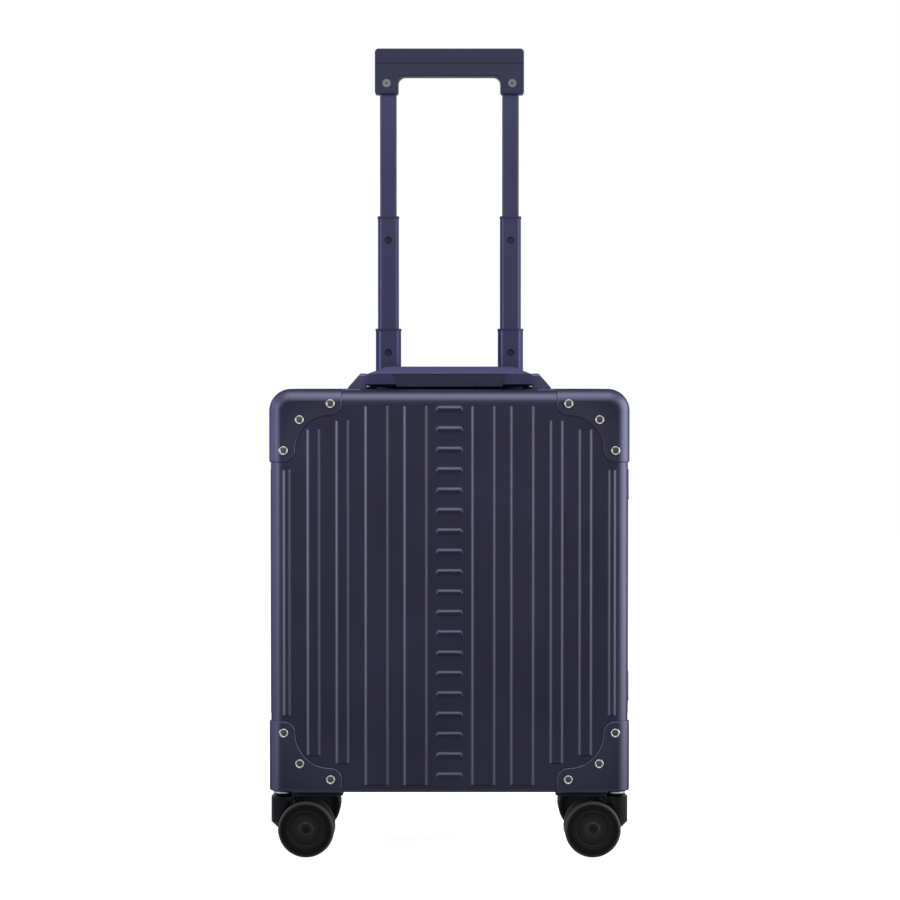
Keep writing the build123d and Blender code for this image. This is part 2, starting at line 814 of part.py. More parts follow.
with BuildPart() as fork_form:
    add(bars_along_z([(0, 0)], fork_radius, fork_low, fork_high))
    rims = fork_form.edges().filter_by(GeomType.CIRCLE).sort_by(Axis.Z)
    chamfer(rims[-1], fork_shoulder)
    chamfer(rims[0], fork_toe)
    with BuildSketch(Plane.XZ.offset(-fork_half)):
        with Locations((-caster_trail, axle_z)):
            Circle(fork_boss)
        with Locations((0, (fork_low + fork_toe + fork_high - fork_shoulder) / 2)):
            Rectangle(fork_radius, fork_high - fork_low - fork_shoulder - fork_toe)
        make_hull()
    extrude(amount=2 * fork_half)
    for turn in (-1, 1):
        low, high = sorted((turn * fork_half, turn * 2 * fork_radius))
        well = bars_along_y([(-caster_trail, axle_z)], wheel_radius + well_gap, low, high)
        add(well, mode=Mode.SUBTRACT)
    axle_bore = bars_along_y([(-caster_trail, axle_z)], axle_radius + fit_gap, -2 * fork_radius, 2 * fork_radius)
    add(axle_bore, mode=Mode.SUBTRACT)
    add(bars_along_z([(0, 0)], kingpin_radius + shaft_gap, fork_low, fork_high), mode=Mode.SUBTRACT)
    pocket = bars_along_z([(0, 0)], kingpin_head + run_gap, 0, kingpin_head_high + run_gap)
    add(pocket, mode=Mode.SUBTRACT)

with BuildPart() as axle_form:
    add(bars_along_y([(-caster_trail, axle_z)], axle_radius, -hub_face + fit_gap, hub_face - fit_gap))
    for turn in (-1, 1):
        low, high = sorted((turn * (recess_floor + run_gap), turn * (hub_face - fit_gap)))
        add(bars_along_y([(-caster_trail, axle_z)], axle_head, low, high))

with BuildPart() as wheel_form:
    with BuildSketch(Plane.XY):
        with BuildLine():
            Polyline(
                (axle_radius + shaft_gap, wheel_near),
                (tyre_inner - fit_gap, wheel_near),
                (tyre_inner - fit_gap, hub_far),
                (hub_groove_out, hub_far),
                (hub_groove_out - hub_groove_depth, hub_far - hub_groove_depth),
                (hub_groove_in, hub_far - hub_groove_depth),
                (hub_boss + hub_groove_depth, hub_far),
                (hub_boss, hub_face),
                (axle_head + run_gap, hub_face),
                (axle_head + run_gap, recess_floor),
                (axle_radius + shaft_gap, recess_floor),
                close=True,
            )
        make_face()
        with Locations(((tyre_inner + wheel_radius) / 2, (wheel_near + wheel_far) / 2)):
            tread = Rectangle(wheel_radius - tyre_inner, wheel_width)
        outer_corners = tread.vertices().group_by(Axis.X)[-1]
        fillet(outer_corners, tyre_shoulder)
    revolve(axis=Axis.Y)


def caster_place(side, row):
    """Location of a caster's swivel axis; side is -1 left, row is -1 front; the wheels trail inwards."""
    turn = 180 if side < 0 else 0
    return Location((side * caster_x, row * caster_y, 0), (0, 0, turn))


caster_pieces = []
for side, side_name in ((-1, "left"), (1, "right")):
    for row, row_name in ((-1, "front"), (1, "rear")):
        name = f"{row_name}_{side_name}"
        with BuildPart() as fork:
            with Locations(caster_place(side, row)):
                add(fork_form.part)
        fork.part.label = f"{name}_caster_fork"
        with BuildPart() as axle:
            with Locations(caster_place(side, row)):
                add(axle_form.part)
        axle.part.label = f"{name}_caster_axle"
        caster_pieces += [fork, axle]
        for end, end_name in ((-1, "fore"), (1, "aft")):
            centre = (side * (caster_x - caster_trail), row * caster_y, axle_z)
            with BuildPart() as wheel:
                with Locations(Location(centre, (0, 0, 180 if end < 0 else 0))):
                    add(wheel_form.part)
            wheel.part.label = f"{name}_{end_name}_wheel"
            caster_pieces.append(wheel)


# ================================================================ carry handle
with BuildPart() as carry_brackets:
    for side in (-1, 1):
        with BuildSketch(Plane.XZ.offset(-carry_pivot_y - bracket_depth / 2)):
            with BuildLine():
                Polyline(
                    (side * bracket_in, case_top + fit_gap),
                    (side * bracket_in, bracket_high),
                    (side * bracket_top_out, bracket_high),
                    (side * bracket_out, bracket_foot),
                    (side * bracket_out, case_top + fit_gap),
                    close=True,
                )
            make_face()
        extrude(amount=bracket_depth)
    brow = carry_brackets.faces().filter_by(Axis.Z).group_by(Axis.Z)[-1]
    chamfer(brow.edges().filter_by(Axis.X), 2.0)
    for side in (-1, 1):
        low, high = sorted((side * bracket_in, side * (bracket_in + carry_pin_deep + fit_gap)))
        hole = bar_along_x(carry_pivot_y, carry_pivot_z, carry_pin_radius + fit_gap, low, high)
        add(hole, mode=Mode.SUBTRACT)
carry_brackets.part.label = "carry_brackets"

with BuildPart() as carry_pins:
    for side in (-1, 1):
        low, high = sorted((side * (carry_end - carry_pin_in_arm), side * (bracket_in + carry_pin_deep)))
        add(bar_along_x(carry_pivot_y, carry_pivot_z, carry_pin_radius, low, high))
carry_pins.part.label = "carry_pins"

pad_top = carry_high - carry_top_chamfer - 1.0
pad_low = carry_low + carry_bottom_chamfer / 2


def pad_block(grow, front):
    """Tapered panel on the grip's front; grow widens it all round, front is where it starts."""
    with BuildPart() as panel:
        with BuildSketch(Plane.XZ.offset(-carry_front - grip_set_in - grip_thick - grow)):
            with BuildLine():
                Polyline(
                    (-grip_half - grow, pad_top + grow),
                    (grip_half + grow, pad_top + grow),
                    (grip_half - carry_bottom_chamfer + grow, pad_low - grow),
                    (-grip_half + carry_bottom_chamfer - grow, pad_low - grow),
                    close=True,
                )
            make_face()
        extrude(amount=carry_front + grip_set_in + grip_thick + grow - front)
    return panel.part


with BuildPart() as carry_handle:
    with BuildSketch(Plane.XZ.offset(-carry_pivot_y - carry_arm_round)):
        with BuildLine():
            Polyline(
                (-carry_end, carry_end_low),
                (-carry_end, carry_end_high),
                (-carry_top_flat, carry_high),
                (carry_top_flat, carry_high),
                (carry_end, carry_end_high),
                (carry_end, carry_end_low),
                (carry_bottom_flat, carry_low),
                (-carry_bottom_flat, carry_low),
                close=True,
            )
        make_face()
    extrude(amount=carry_pivot_y + carry_arm_round - carry_front)
    with BuildSketch(Plane.YZ.offset(-carry_end)):
        with BuildLine():
            Polyline(
                (carry_front, carry_low + carry_bottom_chamfer),
                (carry_front, carry_high - carry_top_chamfer),
                (carry_front + carry_top_chamfer, carry_high),
                (carry_back, carry_high),
                (carry_back, carry_pivot_z + carry_arm_round),
                (carry_pivot_y, carry_pivot_z + carry_arm_round),
            )
            ThreePointArc(
                (carry_pivot_y, carry_pivot_z + carry_arm_round),
                (carry_pivot_y + carry_arm_round, carry_pivot_z),
                (carry_pivot_y, carry_pivot_z - carry_arm_round),
            )
            Polyline(
                (carry_pivot_y, carry_pivot_z - carry_arm_round),
                (carry_back, carry_pivot_z - carry_arm_round),
                (carry_back, carry_low),
                (carry_front + carry_bottom_chamfer, carry_low),
                (carry_front, carry_low + carry_bottom_chamfer),
            )
        make_face()
    extrude(amount=2 * carry_end, mode=Mode.INTERSECT)
    arm_in = carry_end - carry_arm_width
    finger_room = block((-arm_in, carry_back, carry_low), (arm_in, carry_pivot_y + 2 * carry_arm_round, carry_high))
    add(finger_room, mode=Mode.SUBTRACT)
    add(pad_block(fit_gap, 0), mode=Mode.SUBTRACT)
    for side in (-1, 1):
        low, high = sorted((side * (carry_end - carry_pin_in_arm - run_gap), side * (carry_end + fit_gap)))
        bore = bar_along_x(carry_pivot_y, carry_pivot_z, carry_pin_radius + shaft_gap, low, high)
        add(bore, mode=Mode.SUBTRACT)
carry_handle.part.label = "carry_handle"

with BuildPart() as carry_grip_pad:
    add(pad_block(0, carry_front + grip_set_in))
carry_grip_pad.part.label = "carry_grip_pad"


# ================================================================ trolley
def stage_size(stage):
    """Outer width, depth and corner radius of a stage's tube; stage 0 is the innermost, 3 the housing."""
    return (
        inner_width + stage * stage_step,
        inner_depth + stage * stage_step,
        tube_round + stage * stage_step / 2,
    )


def grown(stage, grow):
    """Tube size of a stage with every side moved outwards by grow."""
    width, depth, radius = stage_size(stage)
    return width + 2 * grow, depth + 2 * grow, max(radius + grow, 0.5)


def button_spots(stage_top):
    """Places (x, z) of the two lock buttons seen through the walls of the tubes that end at stage_top."""
    return [(-tube_x, stage_top - lock_button_drop), (tube_x, stage_top - lock_button_drop)]


inner_low = middle_collar_top - lock_button_drop - sleeve_height / 2
middle_low = lower_collar_top - lock_button_drop - sleeve_height / 2
tube_spans = {
    0: (inner_low, inner_high),
    1: (middle_low, middle_collar_top - collar_height),
    2: (lower_low, lower_collar_top - collar_height),
    3: (housing_low, case_top),
}
button_tops = {
    1: middle_collar_top,
    2: lower_collar_top,
    3: lower_low + sleeve_height / 2 + lock_button_drop,
}
screw_x = (handle_leg_in + handle_half) / 2
screw_spots = [(-screw_x, screw_z), (screw_x, screw_z)]
handle_front = tube_y - handle_depth / 2


def stage_tubes(stage):
    """Left and right tube of one stage."""
    low, high = tube_spans[stage]
    _, depth, _ = stage_size(stage)
    with BuildPart() as tubes:
        add(tube_bars(*grown(stage, 0), low, high))
        add(tube_bars(*grown(stage, -tube_wall), low - tube_wall, high + tube_wall), mode=Mode.SUBTRACT)
        if stage in button_tops:
            holes = bars_along_y(button_spots(button_tops[stage]), lock_hole_radius, tube_y - depth, tube_y)
            add(holes, mode=Mode.SUBTRACT)
        else:
            holes = bars_along_y(screw_spots, screw_radius + fit_gap, tube_y - depth, tube_y)
            add(holes, mode=Mode.SUBTRACT)
    return tubes.part


def stage_collars(stage):
    """Moulded rings on the mouths of a stage's tubes, with a skirt inside that guides the next stage."""
    top = tube_spans[stage][1]
    with BuildPart() as collars:
        add(tube_bars(*grown(stage, collar_proud), top + fit_gap, top + collar_height))
        add(tube_bars(*grown(stage, -tube_wall - fit_gap), top - collar_skirt, top + collar_height))
        bore = tube_bars(*grown(stage - 1, run_gap), top - 2 * collar_skirt, top + 2 * collar_height)
        add(bore, mode=Mode.SUBTRACT)
    return collars.part


def stage_sleeves(stage):
    """Moulded guide sleeves round the feet of a stage's tubes, each with its sprung lock button."""
    low = tube_spans[stage][0]
    _, depth, _ = stage_size(stage)
    spots = button_spots(button_tops[stage + 1])
    face = tube_y - depth / 2 - fit_gap - sleeve_thick
    with BuildPart() as sleeves:
        add(tube_bars(*grown(stage, fit_gap + sleeve_thick), low, low + sleeve_height))
        add(tube_bars(*grown(stage, fit_gap), low - tube_wall, low + 2 * sleeve_height), mode=Mode.SUBTRACT)
        cut = bars_along_y(spots, lock_hole_radius - run_gap, face - tube_wall, face + lock_button_groove)
        keep = bars_along_y(spots, lock_button_radius, face, face + lock_button_groove)
        add(cut, mode=Mode.SUBTRACT)
        add(keep)
    return sleeves.part


trolley_pieces = []
stage_names = ("inner", "middle", "lower")
for stage, stage_name in enumerate(stage_names):
    with BuildPart() as tubes:
        add(stage_tubes(stage))
    tubes.part.label = f"{stage_name}_tubes"
    with BuildPart() as sleeves:
        add(stage_sleeves(stage))
    sleeves.part.label = f"{stage_name}_tube_sleeves"
    trolley_pieces += [tubes, sleeves]
    if stage > 0:
        with BuildPart() as collars:
            add(stage_collars(stage))
        collars.part.label = f"{stage_name}_tube_collars"
        trolley_pieces.append(collars)

with BuildPart() as trolley_housings:
    add(stage_tubes(3))
trolley_housings.part.label = "trolley_housings"

with BuildPart() as trolley_foot:
    foot_half = tube_x + housing_width / 2 + foot_margin
    foot_far = half_depth - sheet - fit_gap
    foot_top = housing_low - fit_gap
    add(block((-foot_half, foot_near, foot_top - foot_height), (foot_half, foot_far, foot_top)))
    chamfer(trolley_foot.edges().filter_by(Axis.Z), foot_margin)
trolley_foot.part.label = "trolley_foot"

with BuildPart() as trolley_bezel:
    with BuildSketch(Plane.XY.offset(case_top + fit_gap)):
        with Locations((0, tube_y)):
            RectangleRounded(bezel_length, bezel_width, bezel_round)
    extrude(amount=bezel_thick)
    chamfer(trolley_bezel.faces().sort_by(Axis.Z)[-1].edges(), bezel_chamfer)
    add(tube_bars(*grown(2, run_gap), case_top, case_top + 2 * bezel_thick), mode=Mode.SUBTRACT)
trolley_bezel.part.label = "trolley_bezel"

bridge_high = bridge_low + bridge_tall
button_top = handle_high - button_set_down
button_low = button_top - button_tall
stem_half = button_length / 4

with BuildPart() as trolley_grip:
    with BuildSketch(Plane.XZ.offset(-tube_y - handle_depth / 2)):
        with Locations((0, (handle_low + handle_high) / 2)):
            Rectangle(2 * handle_half, handle_high - handle_low)
        with Locations((0, (handle_low + handle_arch) / 2)):
            Rectangle(2 * handle_leg_in, handle_arch - handle_low, mode=Mode.SUBTRACT)
    extrude(amount=handle_depth)
    upright = trolley_grip.edges().filter_by(Axis.Y)
    fillet(upright.group_by(Axis.Z)[-1], handle_corner)
    arch_edges = [edge for edge in upright if abs(edge.center().Z - handle_arch) < fit_gap]
    fillet(arch_edges, handle_arch_round)
    foot_edges = [edge for edge in upright if abs(edge.center().Z - handle_low) < fit_gap]
    fillet(foot_edges, handle_foot_round)
    for face in (trolley_grip.faces().sort_by(Axis.Y)[0], trolley_grip.faces().sort_by(Axis.Y)[-1]):
        fillet(face.outer_wire().edges(), handle_edge)
    for turn in (-1, 1):
        with BuildSketch(Plane.YZ.offset(-2 * handle_half)):
            with Locations((tube_y + turn * handle_depth / 2, handle_crease_z)):
                Rectangle(2 * handle_crease, 2 * handle_crease, rotation=45)
        extrude(amount=4 * handle_half, mode=Mode.SUBTRACT)
    add(tube_bars(*grown(0, fit_gap), handle_low - 1, inner_high + fit_gap), mode=Mode.SUBTRACT)
    rod_room = rod_radius + run_gap
    rod_spots = [(-tube_x, tube_y), (tube_x, tube_y)]
    add(bars_along_z(rod_spots, rod_room, inner_high - 1, bridge_high + run_gap), mode=Mode.SUBTRACT)
    bridge_room = block(
        (-tube_x, tube_y - bridge_half_depth - run_gap, bridge_low - button_travel - run_gap),
        (tube_x, tube_y + bridge_half_depth + run_gap, bridge_high + run_gap),
    )
    add(bridge_room, mode=Mode.SUBTRACT)
    stem_room = block(
        (-stem_half - run_gap, tube_y - bridge_half_depth - run_gap, bridge_low),
        (stem_half + run_gap, tube_y + bridge_half_depth + run_gap, handle_high),
    )
    add(stem_room, mode=Mode.SUBTRACT)
    button_half, button_deep = button_length / 2 + run_gap, button_width / 2 + run_gap
    button_room = block(
        (-button_half, tube_y - button_deep, button_low - button_travel - run_gap),
        (button_half, tube_y + button_deep, handle_high + 1),
    )
    add(button_room, mode=Mode.SUBTRACT)
    shank_room = bars_along_y(screw_spots, screw_radius + fit_gap, handle_front - 1, handle_front + screw_reach)
    add(shank_room, mode=Mode.SUBTRACT)
    head_room = bars_along_y(screw_spots, screw_head + fit_gap, handle_front - 1, handle_front + screw_head_thick / 2)
    add(head_room, mode=Mode.SUBTRACT)
trolley_grip.part.label = "trolley_grip"

with BuildPart() as grip_screws:
    head_start = handle_front - screw_head_thick / 2
    add(bars_along_y(screw_spots, screw_radius, head_start, handle_front + screw_reach))
    add(bars_along_y(screw_spots, screw_head, head_start, handle_front + screw_head_thick / 2 - fit_gap))
    add(bars_along_y(screw_spots, screw_head / 3, head_start - 1, head_start + screw_head_thick / 2), mode=Mode.SUBTRACT)
grip_screws.part.label = "grip_screws"

with BuildPart() as release_button:
    add(
        block(
            (-button_length / 2, tube_y - button_width / 2, button_low),
            (button_length / 2, tube_y + button_width / 2, button_top),
        )
    )
    fillet(release_button.edges().filter_by(Axis.Z), button_width / 4)
    chamfer(release_button.faces().sort_by(Axis.Z)[-1].edges(), 0.6)
    add(
        block(
            (-stem_half, tube_y - bridge_half_depth, bridge_low),
            (stem_half, tube_y + bridge_half_depth, button_low),
        )
    )
    add(
        block(
            (-tube_x, tube_y - rod_radius, bridge_low),
            (tube_x, tube_y + rod_radius, bridge_high),
        )
    )
    add(bars_along_z(rod_spots, rod_radius, inner_low + rod_start, bridge_high))
release_button.part.label = "release_button"


# ================================================================ files
pieces = [
    front_shell,
    front_frame,
    front_lining,
    front_corner_guards,
    front_guard_rivets,
    front_caster_plates,
    hinge_front_leaf,
    latch_keepers,
    rear_shell,
    rear_frame,
    rear_lining,
    rear_corner_guards,
    rear_guard_rivets,
    rear_caster_plates,
    frame_seal,
    hinge_rear_leaf,
    hinge_pin,
    latch_bases,
    latch_pins,
    upper_latch_lever,
    lower_latch_lever,
    lock_case,
    dial_pin,
    *dials,
    carry_brackets,
    carry_pins,
    carry_handle,
    carry_grip_pad,
    trolley_housings,
    trolley_foot,
    trolley_bezel,
    *trolley_pieces,
    trolley_grip,
    grip_screws,
    release_button,
    *caster_pieces,
]

os.makedirs("parts", exist_ok=True)
for piece in pieces:
    export_step(piece.part, f"parts/{piece.part.label}.step")
print(len(pieces), "nodes")
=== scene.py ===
# %% [markdown]
# # An aluminium cabin suitcase, piece by piece
#
# The case is two pressed aluminium halves held in extruded edge frames, with riveted guards on every
# corner, a trolley handle in three telescoping stages and four twin-wheel casters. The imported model
# already holds every piece at its real size and place, so this lesson only makes the surfaces: it
# models the pressed sheets, the rivets, the wheels and the lining finely, and gives each its finish.

# %% Load the frame
import json
import math

import bmesh
import bpy
from mathutils import Matrix, Vector


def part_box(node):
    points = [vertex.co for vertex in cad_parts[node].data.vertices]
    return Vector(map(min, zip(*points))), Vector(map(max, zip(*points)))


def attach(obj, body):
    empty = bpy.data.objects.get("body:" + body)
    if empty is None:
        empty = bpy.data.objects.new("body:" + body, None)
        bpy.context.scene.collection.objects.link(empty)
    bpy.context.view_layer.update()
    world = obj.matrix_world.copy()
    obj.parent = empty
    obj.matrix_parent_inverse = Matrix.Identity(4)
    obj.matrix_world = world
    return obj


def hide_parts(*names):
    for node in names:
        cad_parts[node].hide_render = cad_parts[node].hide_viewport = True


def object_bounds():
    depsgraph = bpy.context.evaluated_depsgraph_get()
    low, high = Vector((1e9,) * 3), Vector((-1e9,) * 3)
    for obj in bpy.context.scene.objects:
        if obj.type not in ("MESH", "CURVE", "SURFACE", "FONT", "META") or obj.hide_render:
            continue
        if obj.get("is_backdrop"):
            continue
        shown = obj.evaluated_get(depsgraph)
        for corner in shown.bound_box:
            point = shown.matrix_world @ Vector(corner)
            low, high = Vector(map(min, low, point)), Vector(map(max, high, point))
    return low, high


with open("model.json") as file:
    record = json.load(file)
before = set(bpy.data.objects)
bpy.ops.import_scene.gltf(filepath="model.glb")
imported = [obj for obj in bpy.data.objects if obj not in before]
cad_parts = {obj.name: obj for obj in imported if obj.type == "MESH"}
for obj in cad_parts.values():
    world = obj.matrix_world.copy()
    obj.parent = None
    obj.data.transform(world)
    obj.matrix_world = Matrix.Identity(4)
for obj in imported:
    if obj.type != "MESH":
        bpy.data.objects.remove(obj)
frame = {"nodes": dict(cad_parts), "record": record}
nodes = frame["nodes"]
cad_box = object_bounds()
body_of = {node: body for body, members in frame["record"]["behaviour"]["bodies"].items() for node in members}
slot_of = {part["node"]: part["material_slot"] for part in frame["record"]["subparts"]}
mm = 0.001
print("case box", [round(side, 3) for side in cad_box[1] - cad_box[0]], "m,", len(nodes), "nodes")

# %% [markdown]
# ## Two helpers for colour and for node trees
#
# Paint and anodising are specified as display colours, but a shader wants linear light. The first
# helper converts. The second adds a node, sets its sockets and links what it is given, so that each
# material below reads like a recipe.


# %% Colour and node helpers
def display(red, green, blue):
    """Linear colour, with alpha, from display values of 0 to 255."""
    linear = []
    for value in (red, green, blue):
        share = value / 255
        linear.append(share / 12.92 if share <= 0.04045 else ((share + 0.055) / 1.055) ** 2.4)
    return (*linear, 1.0)


def add_node(tree, kind, settings=None, **sockets):
    """Add a shader node; sockets are values or (node, output name) pairs, with _ for a space."""
    node = tree.nodes.new(kind)
    for name, value in (settings or {}).items():
        setattr(node, name, value)
    for name, value in sockets.items():
        socket = node.inputs[name.replace("_", " ")]
        if isinstance(value, tuple) and isinstance(value[0], bpy.types.Node):
            tree.links.new(value[0].outputs[value[1]], socket)
        else:
            socket.default_value = value
    return node


def add_math(tree, operation, *terms):
    """Add a math node; each term is a number or an output socket."""
    node = add_node(tree, "ShaderNodeMath", {"operation": operation})
    for socket, term in zip(node.inputs, terms):
        if isinstance(term, bpy.types.NodeSocket):
            tree.links.new(term, socket)
        else:
            socket.default_value = term
    return node.outputs["Value"]


def add_mix(tree, factor, first, second):
    """Mix two colours; each of the three is a value or an output socket."""
    node = add_node(tree, "ShaderNodeMix", {"data_type": "RGBA"})
    named = {"Factor_Float": factor, "A_Color": first, "B_Color": second}
    for socket in node.inputs:
        if socket.identifier in named:
            term = named[socket.identifier]
            if isinstance(term, bpy.types.NodeSocket):
                tree.links.new(term, socket)
            else:
                socket.default_value = term
    return next(output for output in node.outputs if output.identifier == "Result_Color")


def new_group(name, inputs, outputs):
    """An empty shader node group with named float or colour sockets, and its two end nodes."""
    group = bpy.data.node_groups.new(name, "ShaderNodeTree")
    for label, kind, value in inputs:
        socket = group.interface.new_socket(name=label, in_out="INPUT", socket_type=kind)
        socket.default_value = value
    for label, kind in outputs:
        group.interface.new_socket(name=label, in_out="OUTPUT", socket_type=kind)
    return group, group.nodes.new("NodeGroupInput"), group.nodes.new("NodeGroupOutput")


# %% [markdown]
# ## The grain that every metal and moulded piece shares
#
# Before anodising, the aluminium is blasted with fine beads, which leaves a grain of a few tenths of
# a millimetre. The dye then takes slightly unevenly over whole panels. Moulded pieces have the same
# grain and uneven tone at other scales. Light is also painted into the colour: a mesh carries a mask
# at its flanks and rounded edges, and there a painted tone is mixed in, on most pieces a painted
# highlight. The group is built once: Tone drifts slowly for the colour, Grain is fine for roughness
# and bump, and the mask brings in the painted light.

# %% Shared grain group
FLOAT, COLOUR = "NodeSocketFloat", "NodeSocketColor"


def make_grain_group():
    group, start, end = new_group(
        "blasted_grain",
        [("Light", COLOUR, (1, 1, 1, 1)), ("Deep", COLOUR, (0, 0, 0, 1)), ("Painted Tone", COLOUR, (1, 1, 1, 1)),
         ("Grains Per Metre", FLOAT, 2600.0), ("Rough", FLOAT, 0.4), ("Rough Spread", FLOAT, 0.1)],
        [("Color", COLOUR), ("Roughness", FLOAT), ("Height", FLOAT)],
    )
    place = add_node(group, "ShaderNodeTexCoord")
    drift = add_node(
        group, "ShaderNodeTexNoise", Vector=(place, "Object"), Scale=9.0, Detail=3.0, Roughness=0.55
    )
    grain = add_node(
        group, "ShaderNodeTexNoise", Vector=(place, "Object"), Scale=(start, "Grains Per Metre"), Detail=2.0
    )
    soft = add_node(group, "ShaderNodeMapRange", Value=(drift, "Fac"), From_Min=0.3, From_Max=0.7)
    # Painted light: where a mesh carries its mask, a painted tone is mixed in, on most finishes a painted
    # highlight.
    bend = add_node(group, "ShaderNodeAttribute", {"attribute_name": "bend"})
    toned = add_mix(group, soft.outputs["Result"], start.outputs["Deep"], start.outputs["Light"])
    coloured = add_mix(group, bend.outputs["Fac"], toned, start.outputs["Painted Tone"])
    swing = add_math(group, "SUBTRACT", grain.outputs["Fac"], 0.5)
    rough = add_math(group, "MULTIPLY_ADD", swing, start.outputs["Rough Spread"], start.outputs["Rough"])
    group.links.new(coloured, end.inputs["Color"])
    group.links.new(rough, end.inputs["Roughness"])
    group.links.new(grain.outputs["Fac"], end.inputs["Height"])
    return group


grain_group = make_grain_group()


# %% Materials from the grain group
def new_material(name, **constants):
    """An empty Principled material with constants on the shader's own sockets."""
    material = bpy.data.materials.new(name)
    material.use_nodes = True
    shader = material.node_tree.nodes["Principled BSDF"]
    for label, value in constants.items():
        shader.inputs[label.replace("_", " ")].default_value = value
    return material, material.node_tree, shader


def grained_material(name, light, deep, rough, painted_tone=None, spread=0.12, grain=2600.0, bump=0.05, **constants):
    """A material whose colour drifts between two tones under the shared grain, with a painted tone, mostly a
    painted highlight, where the mesh's mask is.
    """
    material, tree, shader = new_material(name, **constants)
    group = tree.nodes.new("ShaderNodeGroup")
    group.node_tree = grain_group
    values = {"Light": light, "Deep": deep, "Painted Tone": painted_tone or light, "Grains Per Metre": grain, "Rough": rough,
              "Rough Spread": spread}
    for label, value in values.items():
        group.inputs[label].default_value = value
    relief = add_node(tree, "ShaderNodeBump", Height=(group, "Height"), Strength=bump, Distance=0.0002)
    tree.links.new(group.outputs["Color"], shader.inputs["Base Color"])
    tree.links.new(group.outputs["Roughness"], shader.inputs["Roughness"])
    tree.links.new(relief.outputs["Normal"], shader.inputs["Normal"])
    return material


# %% [markdown]
# ## The finishes
#
# Everything blue is aluminium or moulded to match it. Sheets, guards and tubes leave the bath in
# slightly different tones, so each has a pair of tones of its own. A third tone is painted light on
# its flanks and rounded edges: a paler painted highlight on most, and a darker painted shade on the tubes.
# Anodised metal has no white sheen at its outline, so its edge tint is dark. Black mouldings barely
# shine, so their specular level is low.

# %% Finishes
edge_tint = display(170, 170, 190)
anodised = {"Metallic": 1.0, "Specular_Tint": edge_tint}
moulded = {"Specular_IOR_Level": 0.1}
# The third colour of a finish, where one is given, is painted light: a painted highlight on most, painted
# shade on the tubes.
finishes = {
    "shell_blue": grained_material(
        "shell_blue", display(50, 49, 68), display(44, 43, 59), 0.42, display(75, 75, 90), **anodised
    ),
    "guard_blue": grained_material(
        "guard_blue", display(42, 42, 60), display(38, 37, 53), 0.42, display(75, 75, 93), **anodised
    ),
    "frame_blue": grained_material(
        "frame_blue", display(64, 64, 88), display(58, 58, 80), 0.34, display(84, 84, 108), **anodised
    ),
    # Painted shade: the tubes' third colour is darker than their tones, for their rounded edges.
    "tube_blue": grained_material(
        "tube_blue", display(67, 67, 97), display(63, 63, 92), 0.34, display(36, 36, 54), **anodised
    ),
    "fitting_blue": grained_material(
        "fitting_blue", display(78, 78, 104), display(72, 72, 97), 0.36, display(86, 86, 112), **anodised
    ),
    "handle_blue": grained_material(
        "handle_blue", display(62, 62, 92), display(58, 58, 87), 0.38, display(66, 66, 96), **anodised
    ),
    "grip_blue": grained_material(
        "grip_blue", display(43, 44, 63), display(39, 40, 58), 0.42, grain=1800.0, **moulded
    ),
    "moulding_dark": grained_material(
        "moulding_dark", display(38, 38, 56), display(34, 33, 50), 0.5, **moulded
    ),
    "caster_black": grained_material(
        "caster_black", display(13, 13, 16), display(9, 9, 11), 0.32, grain=1500.0, **moulded
    ),
    # Painted highlight: the third colour of the wheel and hub finishes lightens the tyre's shoulder and the
    # hub's edges.
    "wheel_black": grained_material(
        "wheel_black", display(13, 13, 14), display(10, 10, 11), 0.5, display(64, 64, 67), grain=1500.0,
        Specular_IOR_Level=0.04,
    ),
    "hub_black": grained_material(
        "hub_black", display(14, 14, 15), display(10, 10, 11), 0.42, display(58, 58, 61), grain=1500.0,
        **moulded
    ),
    "seal_rubber": grained_material("seal_rubber", display(24, 24, 26), display(20, 20, 22), 0.7, **moulded),
    "rivet_steel": grained_material(
        "rivet_steel", display(150, 150, 150), display(138, 138, 138), 0.26, bump=0.02, Metallic=1.0
    ),
    "fitting_steel": grained_material(
        "fitting_steel", display(190, 190, 192), display(178, 178, 180), 0.28, bump=0.02, Metallic=1.0
    ),
    "dial_white": grained_material(
        "dial_white", display(176, 175, 170), display(166, 165, 160), 0.45, **moulded
    ),
}
# The darker core finish is also used as painted shadow round the rivet heads and as painted shade in the
# screw sockets.
finishes["rivet_core"] = grained_material(
    "rivet_core", display(78, 78, 75), display(60, 60, 57), 0.4, bump=0.1, Metallic=1.0
)
finishes["screw_grey"] = grained_material(
    "screw_grey", display(116, 118, 122), display(100, 102, 106), 0.3, bump=0.02, Metallic=1.0
)
finishes["numeral_ink"] = grained_material(
    "numeral_ink", display(24, 24, 26), display(20, 20, 22), 0.6, **moulded
)
print(len(finishes), "grained finishes")

# %% [markdown]
# ## Cloth and soft-touch finishes
#
# The lining is a plain weave in polyester, about one thread to the millimetre, and the straps are a
# coarser weave of the same kind. On any flat side of the tub two of the three sine waves run across
# each other, so one group of three waves weaves every side. The pad of the carry handle has the
# pebbled skin of a soft-touch moulding, which is a field of small rounded cells.


